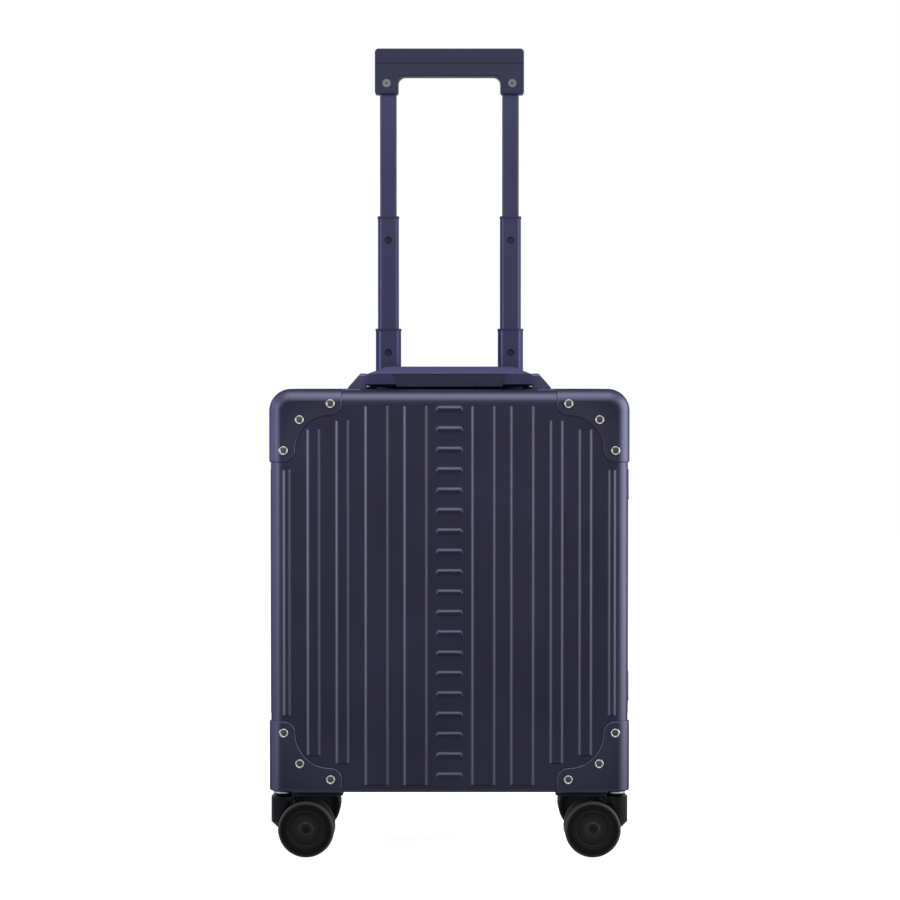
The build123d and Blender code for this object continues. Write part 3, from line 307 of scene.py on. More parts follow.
# %% Weave and pebble groups
def make_weave_group():
    group, start, end = new_group(
        "plain_weave", [("Threads Per Metre", FLOAT, 1000.0)], [("Thread", FLOAT), ("Shade", FLOAT)]
    )
    place = add_node(group, "ShaderNodeTexCoord")
    turns = add_math(group, "MULTIPLY", start.outputs["Threads Per Metre"], math.pi)
    spread = add_node(group, "ShaderNodeVectorMath", {"operation": "SCALE"}, Scale=1.0)
    group.links.new(place.outputs["Object"], spread.inputs["Vector"])
    group.links.new(turns, spread.inputs["Scale"])
    waves = add_node(group, "ShaderNodeVectorMath", {"operation": "SINE"})
    group.links.new(spread.outputs["Vector"], waves.inputs[0])
    total = add_node(group, "ShaderNodeVectorMath", {"operation": "DOT_PRODUCT"})
    group.links.new(waves.outputs["Vector"], total.inputs[0])
    total.inputs[1].default_value = (1, 1, 1)
    thread = add_node(group, "ShaderNodeMapRange", Value=(total, "Value"), From_Min=-2.0, From_Max=2.0)
    cloud = add_node(group, "ShaderNodeTexNoise", Vector=(place, "Object"), Scale=30.0, Detail=4.0)
    group.links.new(thread.outputs["Result"], end.inputs["Thread"])
    group.links.new(cloud.outputs["Fac"], end.inputs["Shade"])
    return group


weave_group = make_weave_group()


def woven_material(name, light, deep, threads):
    """Plain woven cloth; threads cross at the given number per metre."""
    material, tree, shader = new_material(
        name, Sheen_Weight=0.25, Sheen_Roughness=0.5, Specular_IOR_Level=0.2
    )
    weave = tree.nodes.new("ShaderNodeGroup")
    weave.node_tree = weave_group
    weave.inputs["Threads Per Metre"].default_value = threads
    share = add_math(tree, "MULTIPLY_ADD", weave.outputs["Shade"], 0.5, 0.0)
    blend = add_math(tree, "MULTIPLY_ADD", weave.outputs["Thread"], 0.6, share)
    tree.links.new(add_mix(tree, blend, deep, light), shader.inputs["Base Color"])
    rough = add_math(tree, "MULTIPLY_ADD", weave.outputs["Thread"], -0.15, 0.9)
    tree.links.new(rough, shader.inputs["Roughness"])
    relief = add_node(tree, "ShaderNodeBump", Height=(weave, "Thread"), Strength=0.5, Distance=0.0003)
    tree.links.new(relief.outputs["Normal"], shader.inputs["Normal"])
    return material


def pebbled_material(name, light, deep, cells, rough):
    """A soft-touch moulding: rounded cells, with painted shade in the creases between them."""
    material, tree, shader = new_material(name, **moulded)
    place = add_node(tree, "ShaderNodeTexCoord")
    field = add_node(
        tree, "ShaderNodeTexVoronoi", {"feature": "SMOOTH_F1"}, Vector=(place, "Object"), Scale=cells
    )
    crown = add_node(
        tree, "ShaderNodeMapRange", Value=(field, "Distance"), From_Min=0.1, From_Max=0.7,
        To_Min=1.0, To_Max=0.0
    )
    # Painted shade: the creases between cells take the deeper colour.
    tree.links.new(add_mix(tree, crown.outputs["Result"], deep, light), shader.inputs["Base Color"])
    uneven = add_math(tree, "MULTIPLY_ADD", crown.outputs["Result"], -0.12, rough)
    tree.links.new(uneven, shader.inputs["Roughness"])
    relief = add_node(tree, "ShaderNodeBump", Height=(crown, "Result"), Strength=0.4, Distance=0.0003)
    tree.links.new(relief.outputs["Normal"], shader.inputs["Normal"])
    return material


finishes["lining_cloth"] = woven_material("lining_cloth", display(66, 66, 78), display(34, 34, 43), 900.0)
finishes["strap_webbing"] = woven_material("strap_webbing", display(54, 54, 68), display(24, 24, 33), 520.0)
finishes["pad_dark"] = pebbled_material("pad_dark", display(46, 47, 65), display(38, 39, 54), 900.0, 0.6)
print(len(finishes), "finishes in all")

# %% [markdown]
# ## Finishing a machined piece
#
# A machined or moulded piece never has a razor edge: its corners are broken by a few tenths of a
# millimetre, and that small round is what catches the light. The imported shape comes as loose
# triangles, so a copy is welded, its flat faces are joined again, the sharp edges are bevelled and
# the shading is weighted by area, which keeps flat faces looking flat. Pieces of the guard, frame,
# fitting and tube finishes carry the painted-light mask, read from how far each point's normal turns
# away from the three main directions.

# %% Finish a copy of a imported node
sharp_edge = math.radians(32)
painted_light_slots = ("guard_blue", "frame_blue", "fitting_blue", "tube_blue")


def link_piece(name, mesh, body, slot, replaced=(), finish=None):
    """Put a finished mesh in the scene, on its body, with its finish; finish may be a list of names."""
    piece = bpy.data.objects.new(name, mesh)
    bpy.context.scene.collection.objects.link(piece)
    for label in finish or [slot]:
        mesh.materials.append(finishes[label])
    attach(piece, body)
    if replaced:
        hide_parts(*replaced)
    return piece


def shade(piece, angle=sharp_edge):
    """Smooth shading that keeps edges above the angle, with flat faces weighted to stay flat."""
    mesh = piece.data
    mesh.shade_smooth()
    mesh.set_sharp_from_angle(angle=angle)
    weight = piece.modifiers.new("weighted_normals", "WEIGHTED_NORMAL")
    weight.keep_sharp = True
    return piece


def to_mesh(shape, name):
    """Turn a bmesh into a mesh and free it."""
    mesh = bpy.data.meshes.new(name)
    shape.to_mesh(mesh)
    shape.free()
    return mesh


def write_bends(mesh, painted_light_values):
    """Store the painted-light mask, one number for each point."""
    layer = mesh.attributes.new("bend", "FLOAT", "POINT")
    layer.data.foreach_set("value", painted_light_values)


def turned_share(normal):
    """0 where a normal lies along a main direction, 1 where it turns 45 degrees away."""
    most = max(abs(normal.x), abs(normal.y), abs(normal.z))
    return math.sqrt(min(max((1 - most) / 0.29, 0.0), 1.0))


def welded_copy(node):
    """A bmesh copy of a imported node, welded, with its flat faces joined."""
    shape = bmesh.new()
    shape.from_mesh(nodes[node].data)
    bmesh.ops.remove_doubles(shape, verts=shape.verts, dist=0.000002)
    bmesh.ops.dissolve_limit(shape, angle_limit=math.radians(0.8), verts=shape.verts, edges=shape.edges)
    return shape


def finish_node(node, edge=0.3, segments=2, finish=None, clamp=True):
    """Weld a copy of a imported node, round its sharp edges by edge millimetres and shade it."""
    shape = welded_copy(node)
    if edge:
        sharp = [e for e in shape.edges if len(e.link_faces) == 2 and e.calc_face_angle(0) > sharp_edge]
        bmesh.ops.bevel(
            shape,
            geom=sharp,
            offset=edge * mm,
            segments=segments,
            profile=0.5,
            affect="EDGES",
            clamp_overlap=clamp,
            material=-1,
        )
    mesh = to_mesh(shape, f"{node}_surface")
    piece = link_piece(f"{node}_surface", mesh, body_of[node], slot_of[node], [node], finish)
    # Painted light on the rounded edges of guard, frame, fitting and tube pieces.
    if slot_of[node] in painted_light_slots:
        write_bends(mesh, [turned_share(vertex.normal) for vertex in mesh.vertices])
    return shade(piece)


# %% [markdown]
# ## The pressed halves
#
# Each half is one sheet pressed over a die. It starts as a block: its upright corners and its front
# edge are rounded, extra cuts are laid where the ribs rise, and then only the front, side and top
# faces move outwards, by a smooth step that follows each rib's rounded outline. The louvre tabs of
# the middle ladder have a steep lip on top, flare at their sides and fade into the sheet below.

# %% Sizes of a half
shell_low, shell_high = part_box("front_shell")
rib_rise = 1.0 * mm
half_width = shell_high.x - rib_rise
front_y = shell_low.y + rib_rise
half_depth = -front_y
case_base = shell_low.z
case_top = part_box("rear_shell")[1].z
seam_edge = shell_high.y
middle_z = (case_base + case_top) / 2
sheet = 1.5 * mm
edge_round = 12 * mm
top_round = 20.5 * mm
heel_round = 4 * mm
flank = 3.6 * mm
end_flank = 0.8 * mm

# each rib: middle, width, low, high; mirrored left and right
edge_span = (case_base + 77.3 * mm, case_top - 79.5 * mm)
rib_sizes = (
    (34.0 * mm, 25.4 * mm, case_base + 7.3 * mm, case_top - 15.5 * mm),
    (73.0 * mm, 25.4 * mm, case_base + 7.3 * mm, case_top - 15.5 * mm),
    (half_width - 72.2 * mm, 15.0 * mm, case_base + 29.3 * mm, case_top - 30.0 * mm),
    (half_width - 43.3 * mm, 15.0 * mm, case_base + 37.3 * mm, case_top - 39.0 * mm),
    (half_width - 16.5 * mm, 9.2 * mm, *edge_span),
)
side_rib_sizes = (
    (half_depth - 48.5 * mm, 15.0 * mm, *edge_span),
    (half_depth - 26.5 * mm, 15.0 * mm, *edge_span),
)
tab_pitch = 20.44 * mm
tab_top = case_top - 14.9 * mm
tab_lip, tab_drop, tab_foot = 3.3 * mm, 7.6 * mm, 6.0 * mm
tab_half, tab_flare, tab_side = 12.9 * mm, 0.25, 2.6 * mm
tab_count = int((tab_top - tab_drop - tab_foot - case_base) / tab_pitch) + 1
panel_middle, panel_half_x, panel_half_y = half_depth / 2 - 0.75 * mm, 92 * mm, 33 * mm
print("ribs", len(rib_sizes), "a side, tabs", tab_count)


# %% Height of the relief
def smooth_step(share):
    share = min(max(share, 0.0), 1.0)
    return share * share * (3 - 2 * share)


def steepness(share):
    """1 in the middle of a smooth step, 0 at its foot and top."""
    share = min(max(share, 0.0), 1.0)
    return 4 * share * (1 - share)


def rib_relief(across, along, half, half_length, side_flank, end_flank):
    """Rise and steepness of a rib at a place measured from its middle."""
    side, end = (half - abs(across)) / side_flank, (half_length - abs(along)) / end_flank
    return rib_rise * smooth_step(side) * smooth_step(end), steepness(side) * smooth_step(end)


def tab_relief(x, z):
    """Rise and steepness of the louvre ladder at a place on the front."""
    below = (tab_top - z) % tab_pitch
    if below > tab_drop or not 0 <= (tab_top - z) // tab_pitch < tab_count:
        return 0.0, 0.0
    inside = (tab_half + tab_flare * min(below, 2 * tab_lip) - abs(x)) / tab_side
    if inside <= 0:
        return 0.0, 0.0
    fade = smooth_step(1 - (below - tab_lip) / (tab_drop - tab_lip))
    height = rib_rise * smooth_step(inside) * smooth_step(below / tab_lip) * fade
    beside = 0.4 * steepness(inside) * smooth_step(below / tab_lip) * fade * fade
    return height, max(0.5 * steepness(below / tab_lip) * min(inside, 1.0), beside)


def side_flank(width):
    """Width of a rib's side flank, less on a rib that would otherwise have no flat top."""
    return min(flank, 0.4 * width)


def higher(first, second):
    """Of two (rise, steepness) pairs, the higher rise and the greater steepness."""
    return max(first[0], second[0]), max(first[1], second[1])


def ribs_relief(sizes, across, along):
    relief = (0.0, 0.0)
    for centre, width, low, high in sizes:
        off = abs(across) - centre
        if abs(off) <= width / 2 and low <= along <= high:
            middle, half_length = (low + high) / 2, (high - low) / 2
            relief = higher(
                relief, rib_relief(off, along - middle, width / 2, half_length, side_flank(width), end_flank)
            )
    return relief


# %% Cut lines for the relief
def side_lines(centre, width):
    """Places of the cuts over both flanks of a rib, from each foot to its top."""
    wide = side_flank(width)
    steps = [wide * share for share in (0.0, 0.2, 0.4, 0.6, 0.8, 1.0)]
    return [centre - width / 2 + step for step in steps] + [centre + width / 2 - step for step in steps]


def end_lines(low, high, wide):
    """Places of the cuts over both ends of a rib."""
    steps = [wide * share for share in (0.0, 0.3, 0.7, 1.0)]
    return [low + step for step in steps] + [high - step for step in steps]


def spaced(places, least=0.2 * mm):
    """Sorted places with near doubles left out."""
    kept = []
    for place in sorted(places):
        if not kept or place - kept[-1] > least:
            kept.append(place)
    return kept


front_columns, front_rows, side_columns, side_rows = [], [], [], []
for centre, width, low, high in rib_sizes:
    front_columns += [side * place for side in (-1, 1) for place in side_lines(centre, width)]
    front_rows += end_lines(low, high, end_flank)
for step in range(9):
    front_columns += [side * (tab_half + 2.6 * mm - 0.6 * mm * step) for side in (-1, 1)]
for number in range(tab_count):
    top = tab_top - number * tab_pitch
    front_rows += [
        top - tab_lip * step for step in (0.0, 0.2, 0.4, 0.6, 0.8, 1.0, 1.3, 1.8)
    ] + [top - tab_drop]
for centre, width, low, high in side_rib_sizes:
    side_columns += [-place for place in side_lines(centre, width)]
    side_rows += end_lines(low, high, end_flank)
panel_columns = end_lines(-panel_half_x, panel_half_x, flank)
panel_rows = end_lines(-panel_middle - panel_half_y, -panel_middle + panel_half_y, flank)
print("front cuts", len(spaced(front_columns)), "by", len(spaced(front_rows)))


# %% Press a half
def cut_in_order(shape, faces, along, places):
    """Lay straight cuts across some faces, lowest first; only the strip past each cut is cut again."""
    along = Vector(along)
    for place in spaced(places):
        geometry = set(faces)
        for face in faces:
            geometry.update(face.edges)
            geometry.update(face.verts)
        cut = bmesh.ops.bisect_plane(
            shape, geom=list(geometry), dist=1e-7, plane_co=along * place, plane_no=along
        )
        faces = [f for f in cut["geom"] if isinstance(f, bmesh.types.BMFace)]
        faces = [f for f in faces if f.calc_center_median().dot(along) > place]


def cut_window(shape, out, low, high):
    """Cut a rectangular window in the flat faces that look along out; low and high are its corners."""
    out = Vector(out)
    across = [axis for axis in range(3) if not out[axis]]
    for axis in across:
        along = [0.0, 0.0, 0.0]
        along[axis] = 1.0
        flat = [face for face in shape.faces if face.normal.dot(out) > 0.999]
        cut_in_order(shape, flat, along, [low[axis], high[axis]])
    window = []
    for face in shape.faces:
        centre = face.calc_center_median()
        if face.normal.dot(out) > 0.999 and all(low[axis] < centre[axis] < high[axis] for axis in across):
            window.append(face)
    bmesh.ops.delete(shape, geom=window, context="FACES")


def rear_windows(shape):
    """Openings of the rear sheet, before it is mirrored: two for the trolley's posts and one for the lock."""
    low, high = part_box("trolley_housings")
    post_half = 15.75 * mm
    for side in (-1, 1):
        middle = side * (high.x - post_half + 0.05 * mm)
        cut_window(shape, (0, 0, 1), (middle - post_half, -high.y, 0), (middle + post_half, -low.y, 0))
    low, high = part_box("lock_case")
    rim = 2.0 * mm
    cut_window(shape, (1, 0, 0), (0, rim - high.y, low.z + rim), (0, -rim - low.y, high.z - rim))


def block_half():
    """The plain half before pressing: a rounded block, open at the seam."""
    low = Vector((-half_width, front_y, case_base - 2 * edge_round))
    high = Vector((half_width, seam_edge, case_top))
    shape = bmesh.new()
    bmesh.ops.create_cube(shape, size=1.0)
    bmesh.ops.scale(shape, vec=high - low, verts=shape.verts)
    bmesh.ops.translate(shape, vec=(low + high) / 2, verts=shape.verts)
    seam = [face for face in shape.faces if face.normal.y > 0.9]
    bmesh.ops.delete(shape, geom=seam, context="FACES_ONLY")

    def bevel(edges, size, segments):
        bmesh.ops.bevel(
            shape, geom=edges, offset=size, segments=segments, profile=0.5, affect="EDGES", material=-1
        )

    def along_y(edge):
        return abs(edge.verts[0].co.y - edge.verts[1].co.y) > edge.calc_length() * 0.9

    bevel([e for e in shape.edges if along_y(e) and e.verts[0].co.z > middle_z], top_round, 12)
    rim = [e for e in shape.edges if all(abs(v.co.y - front_y) < 1e-6 for v in e.verts)]
    bevel([e for e in rim if not e.is_boundary], edge_round, 12)
    cut = bmesh.ops.bisect_plane(
        shape,
        geom=shape.verts[:] + shape.edges[:] + shape.faces[:],
        dist=1e-7,
        plane_co=(0, 0, case_base),
        plane_no=(0, 0, -1),
        clear_outer=True,
    )
    base_edges = [item for item in cut["geom_cut"] if isinstance(item, bmesh.types.BMEdge)]
    seam_ends = [v for e in base_edges for v in e.verts if abs(v.co.y - seam_edge) < 1e-6]
    closing = shape.edges.new(sorted(set(seam_ends), key=lambda v: v.co.x))
    bmesh.ops.contextual_create(shape, geom=base_edges + [closing])
    bmesh.ops.recalc_face_normals(shape, faces=shape.faces)
    heel = [
        e for e in shape.edges
        if not e.is_boundary and all(abs(v.co.z - case_base) < 1e-6 for v in e.verts)
    ]
    bevel(heel, heel_round, 5)
    return shape


def press(shape, with_panel):
    """Move the front, side and top faces out by their relief and return each point's share of painted
    highlight.
    """
    painted_light_values = []
    for vertex in shape.verts:
        place = vertex.co
        # Painted highlight: strong on rounded edges and on the steep flanks of ribs, tabs and the top panel.
        bend = 0.85 * turned_share(vertex.normal)
        if place.y < front_y + 0.2 * mm:
            height, steep = higher(ribs_relief(rib_sizes, place.x, place.z), tab_relief(place.x, place.z))
            place.y -= height
            bend = max(bend, steep)
        elif abs(place.x) > half_width - 0.2 * mm:
            height, steep = ribs_relief(side_rib_sizes, place.y, place.z)
            place.x += math.copysign(height, place.x)
            bend = max(bend, steep)
        elif with_panel and place.z > case_top - 0.2 * mm:
            height, steep = rib_relief(
                place.x, place.y + panel_middle, panel_half_x, panel_half_y, flank, flank
            )
            place.z += height
            bend = max(bend, steep)
        painted_light_values.append(bend)
    return painted_light_values


def pressed_half(name, turn, body, slot, node):
    """Press ribs and tabs into a half; turn is 1 for the front one and -1 for its mirror image."""
    shape = block_half()
    cut_in_order(shape, [f for f in shape.faces if f.normal.y < -0.999], (1, 0, 0), front_columns)
    cut_in_order(shape, [f for f in shape.faces if f.normal.y < -0.999], (0, 0, 1), front_rows)
    for side in (-1, 1):
        cut_in_order(shape, [f for f in shape.faces if f.normal.x * side > 0.999], (0, 1, 0), side_columns)
        cut_in_order(shape, [f for f in shape.faces if f.normal.x * side > 0.999], (0, 0, 1), side_rows)
    if turn > 0:
        cut_in_order(shape, [f for f in shape.faces if f.normal.z > 0.999], (1, 0, 0), panel_columns)
        cut_in_order(shape, [f for f in shape.faces if f.normal.z > 0.999], (0, 1, 0), panel_rows)
    shape.normal_update()
    if turn < 0:
        rear_windows(shape)
    painted_light_values = press(shape, turn > 0)
    if turn < 0:
        bmesh.ops.scale(shape, vec=(1, -1, 1), verts=shape.verts)
        bmesh.ops.reverse_faces(shape, faces=shape.faces)
    mesh = to_mesh(shape, name)
    write_bends(mesh, painted_light_values)
    piece = link_piece(name, mesh, body, slot, [node])
    wall = piece.modifiers.new("sheet", "SOLIDIFY")
    wall.thickness = sheet
    wall.offset = -1
    shade(piece)
    print(name, len(mesh.polygons), "faces")
    return piece


pressed_half("front_pressed_shell", 1, "front_half", "shell_blue", "front_shell")
pressed_half("rear_pressed_shell", -1, "rear_half", "shell_blue", "rear_shell")

# %% [markdown]
# ## Rivets with a domed ring and a set centre
#
# Every corner guard is held by three tubular rivets. The rolled collar is bright and polished, and
# the set centre inside it is duller and darker, which makes the two-tone dot that the eye picks out
# first. The same dark finish on the head's outer edge is a painted shadow round the head. One
# profile is spun once, coloured by distance from its middle, and copied to each packed rivet's place.


# %% Places of repeated pieces
def islands(node):
    """(lowest corner, highest corner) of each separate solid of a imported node."""
    shape = welded_copy(node)
    left = set(shape.verts)
    found = []
    while left:
        reached = [left.pop()]
        corners = [reached[0].co.copy(), reached[0].co.copy()]
        while reached:
            vertex = reached.pop()
            for pick, corner in zip((min, max), corners):
                corner[:] = [pick(a, b) for a, b in zip(corner, vertex.co)]
            near = {edge.other_vert(vertex) for edge in vertex.link_edges} & left
            left -= near
            reached += near
        found.append(tuple(corners))
    shape.free()
    return found


def spin_profile(shape, profile, steps, axis=(0, 1, 0)):
    """Spin a line of (radius, height) points a full turn; heights run along the axis."""
    along = Vector(axis)
    out = Vector((1, 0, 0)) if abs(along.x) < 0.5 else Vector((0, 0, 1))
    line = [shape.verts.new(out * radius + along * height) for radius, height in profile]
    edges = [shape.edges.new(pair) for pair in zip(line, line[1:])]
    bmesh.ops.spin(
        shape, geom=line + edges, cent=(0, 0, 0), axis=along, angle=math.tau, steps=steps, use_merge=True
    )
    bmesh.ops.remove_doubles(shape, verts=shape.verts, dist=1e-6)
    bmesh.ops.recalc_face_normals(shape, faces=shape.faces)


# %% Rivets
rivet_core, rivet_rim = 2.8 * mm, 4.7 * mm
rivet_profile = [
    (0.0, -1.7), (1.4, -1.6), (2.3, -1.4), (2.7, -1.4), (3.1, -1.9), (3.6, -2.28), (4.1, -2.2),
    (4.55, -1.8), (4.82, -1.2), (4.9, -0.5), (4.9, 0.0), (2.0, 0.0), (2.0, 3.2), (2.4, 3.2), (2.4, 4.3),
    (0.0, 4.3),
]


def rivet_row(node, turn):
    """All the rivets of a half as one piece; turn is 1 where their heads face -Y and -1 where +Y."""
    places = islands(node)
    shape = bmesh.new()
    for low, high in places:
        rivet = bmesh.new()
        spin_profile(rivet, [(radius * mm, height * mm) for radius, height in rivet_profile], 28)
        for face in rivet.faces:
            middle = face.calc_center_median()
            # Outward faces inside the core radius take the darker core finish, and so do those past the rim,
            # as a painted shadow round the head's edge.
            if middle.y < 0 and not rivet_core < math.hypot(middle.x, middle.z) < rivet_rim:
                face.material_index = 1
        if turn < 0:
            bmesh.ops.rotate(
                rivet, verts=rivet.verts, cent=(0, 0, 0), matrix=Matrix.Rotation(math.pi, 3, "Z")
            )
        head_y = low.y + 2.3 * mm if turn > 0 else high.y - 2.3 * mm
        place = ((low.x + high.x) / 2, head_y, (low.z + high.z) / 2)
        bmesh.ops.translate(rivet, vec=place, verts=rivet.verts)
        copy = to_mesh(rivet, "rivet")
        shape.from_mesh(copy)
        bpy.data.meshes.remove(copy)
    mesh = to_mesh(shape, f"{node}_surface")
    finish = ["rivet_steel", "rivet_core"]
    piece = link_piece(f"{node}_surface", mesh, body_of[node], "rivet_steel", [node], finish)
    mesh.shade_smooth()
    mesh.set_sharp_from_angle(angle=math.radians(50))
    print(node, len(places), "rivets")
    return piece


# %% Screw heads on the trolley grip
def screw_row(node):
    """Each packed screw of the grip, with a bright chamfer and a dark socket."""
    shape = welded_copy(node)
    for low, high in islands(node):
        middle = (low + high) / 2
        for face in shape.faces:
            reach = max(math.hypot(v.co.x - middle.x, v.co.z - middle.z) for v in face.verts)
            # Painted shade in the socket: its faces take the dark core finish.
            if reach < 1.7 * mm and face.calc_center_median().y < low.y + 1.2 * mm:
                face.material_index = 1
    mesh = to_mesh(shape, f"{node}_surface")
    return shade(
        link_piece(
            f"{node}_surface", mesh, body_of[node], slot_of[node], [node], ["screw_grey", "rivet_core"]
        )
    )


screw_row("grip_screws")
rivet_row("front_guard_rivets", 1)
rivet_row("rear_guard_rivets", -1)

# %% [markdown]
# ## Twin wheels
#
# Each wheel is a rubber tyre on a moulded hub. The tyre has a rounded shoulder and a fine parting
# line round its tread. The hub sits a little lower, with a groove inside its rim, a collar round the
# axle and five curved vanes, which are an arc spun from one short edge, thickened and bevelled.

# %% One tyre and one hub
tyre_profile = [
    (18.45, 0.0), (24.6, 0.0), (25.4, 0.1), (26.5, 0.4), (27.5, 1.3), (28.1, 2.7), (28.3, 4.4),
    (28.3, 6.0), (28.12, 6.25), (28.3, 6.5), (28.3, 8.1), (28.1, 9.8), (27.5, 11.2), (26.5, 12.1),
    (25.4, 12.4), (24.6, 12.5), (21.0, 12.5), (20.6, 12.5), (20.2, 12.25), (19.8, 12.5), (18.45, 12.5),
]
hub_profile = [
    (3.1, 0.0), (18.4, 0.0), (18.4, 10.6), (18.1, 11.0), (17.3, 11.0), (16.6, 10.1), (15.6, 9.9), (14.4, 9.9),
    (13.6, 10.3), (7.6, 10.4), (7.0, 10.8), (6.6, 11.4), (6.1, 11.5), (4.9, 11.5), (4.3, 11.2),
    (4.2, 9.6), (3.1, 9.6),
]


def spun(profile, steps):
    """A closed ring whose profile, in millimetres, is spun round the Y axis."""
    shape = bmesh.new()
    closed = [(radius * mm, height * mm) for radius, height in profile + profile[:1]]
    spin_profile(shape, closed, steps)
    return shape


def add_vanes(shape, count=5):
    """Curved vanes that stand on the hub's face, between its collar and its groove."""
    for number in range(count):
        vane = bmesh.new()
        foot = [vane.verts.new((reach * mm, 10.2 * mm, 0)) for reach in (7.4, 8.6)]
        edge = vane.edges.new(foot)
        bmesh.ops.spin(
            vane, geom=foot + [edge], cent=(10.6 * mm, 10.2 * mm, 4.2 * mm), axis=(0, 1, 0),
            angle=math.radians(105), steps=9, use_merge=False,
        )
        swept = bmesh.ops.extrude_face_region(vane, geom=vane.faces[:])
        raised = [item for item in swept["geom"] if isinstance(item, bmesh.types.BMVert)]
        bmesh.ops.translate(vane, vec=(0, 0.75 * mm, 0), verts=raised)
        bmesh.ops.recalc_face_normals(vane, faces=vane.faces)
        crest = [
            e for e in vane.edges
            if all(v.co.y > 10.8 * mm for v in e.verts) and e.calc_face_angle(0) > 0.5
        ]
        bmesh.ops.bevel(
            vane, geom=crest, offset=0.25 * mm, segments=2, profile=0.5, affect="EDGES", material=-1
        )
        turn = Matrix.Rotation(math.tau * number / count, 3, "Y")
        bmesh.ops.rotate(vane, verts=vane.verts, cent=(0, 0, 0), matrix=turn)
        copy = to_mesh(vane, "vane")
        shape.from_mesh(copy)
        bpy.data.meshes.remove(copy)
    return shape


# %% Wheels in their places
def place_wheel_part(shape, node, part, finish):
    """Turn a part's outer face away from the fork and put it on its axle."""
    low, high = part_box(node)
    outward = -1 if "_fore_" in node else 1
    if outward < 0:
        bmesh.ops.rotate(shape, verts=shape.verts, cent=(0, 0, 0), matrix=Matrix.Rotation(math.pi, 3, "X"))
    inner_y = low.y if outward > 0 else high.y
    bmesh.ops.translate(shape, vec=((low.x + high.x) / 2, inner_y, (low.z + high.z) / 2), verts=shape.verts)
    mesh = to_mesh(shape, f"{node}_{part}")
    centre = (low + high) / 2
    # Painted highlight on the tyre's shoulder and the hub's edges, a quarter as strong between 10 and 22 mm
    # from the axle.
    painted_light_values = []
    for vertex in mesh.vertices:
        reach = math.hypot(vertex.co.x - centre.x, vertex.co.z - centre.z)
        painted_light_values.append(steepness(abs(vertex.normal.y)) * (0.25 if 10 * mm < reach < 22 * mm else 1.0))
    write_bends(mesh, painted_light_values)
    piece = link_piece(f"{node}_{part}", mesh, body_of[node], slot_of[node], [node], [finish])
    return shade(piece, math.radians(40))


wheel_nodes = [node for node in sorted(nodes) if node.endswith("_wheel")]
for node in wheel_nodes:
    place_wheel_part(spun(tyre_profile, 72), node, "tyre", "wheel_black")
    place_wheel_part(add_vanes(spun(hub_profile, 48)), node, "hub", "hub_black")
print(len(wheel_nodes), "wheels")

# %% [markdown]
# ## Caster plates in two metals
#
# The base plate is black, but the swivel's cup and its kingpin are bare steel, and the cup's rim is
# the bright line under each corner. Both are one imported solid, so the copy gets two materials, and
# each face takes its own by how near it is to the swivel's axis.

# %% Caster plates
swivel_x, swivel_y = half_width - 10.5 * mm, half_depth - 22.5 * mm
for node in ("front_caster_plates", "rear_caster_plates"):
    piece = finish_node(node, edge=0.3)
    piece.data.materials.append(finishes["fitting_steel"])
    for face in piece.data.polygons:
        corners = [piece.data.vertices[index].co for index in face.vertices]
        reach = max(math.hypot(abs(c.x) - swivel_x, abs(c.y) - swivel_y) for c in corners)
        face.material_index = 1 if reach < 9.1 * mm else 0

# %% [markdown]
# ## Numbers on the dials
#
# Each dial of the lock has ten flats with the digits 0 to 9. Text is flat when it is new, so each
# digit is made a mesh first and then turned to face out from its flat.

# %% Dial numbers
dial_flat = 4.945 * mm
for number in (1, 2, 3):
    node = f"number_dial_{number}"
    low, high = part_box(node)
    centre = (low + high) / 2
    shape = bmesh.new()
    for digit in range(10):
        text = bpy.data.curves.new("digit", "FONT")
        text.body = str(digit)
        text.align_x, text.align_y = "CENTER", "CENTER"
        text.size = 3.6 * mm
        text.extrude = 0.03 * mm
        text.resolution_u = 4
        holder = bpy.data.objects.new("digit", text)
        bpy.context.scene.collection.objects.link(holder)
        flat = bpy.data.meshes.new_from_object(holder)
        turn = math.tau * digit / 10
        out = Vector((math.cos(turn), math.sin(turn), 0))
        right = Vector((-math.sin(turn), math.cos(turn), 0))
        frame_of_flat = Matrix((right, Vector((0, 0, 1)), out)).transposed().to_4x4()
        frame_of_flat.translation = centre + out * dial_flat
        flat.transform(frame_of_flat)
        shape.from_mesh(flat)
        bpy.data.objects.remove(holder)
        bpy.data.curves.remove(text)
        bpy.data.meshes.remove(flat)
    link_piece(
        f"dial_{number}_numerals", to_mesh(shape, f"dial_{number}_numerals"), f"dial_{number}", None, (),
        ["numeral_ink"]
    )

# %% [markdown]
# ## Inside the case
#
# The rear half has two crossed elastic straps with a side-release buckle, which hold the clothes down.
# The lid has a flat pocket with a piped edge and a zip. Straps and pocket are sewn flat, so each is a
# thin rounded box. The zip is a tape, a row of teeth and a slider with its pull.


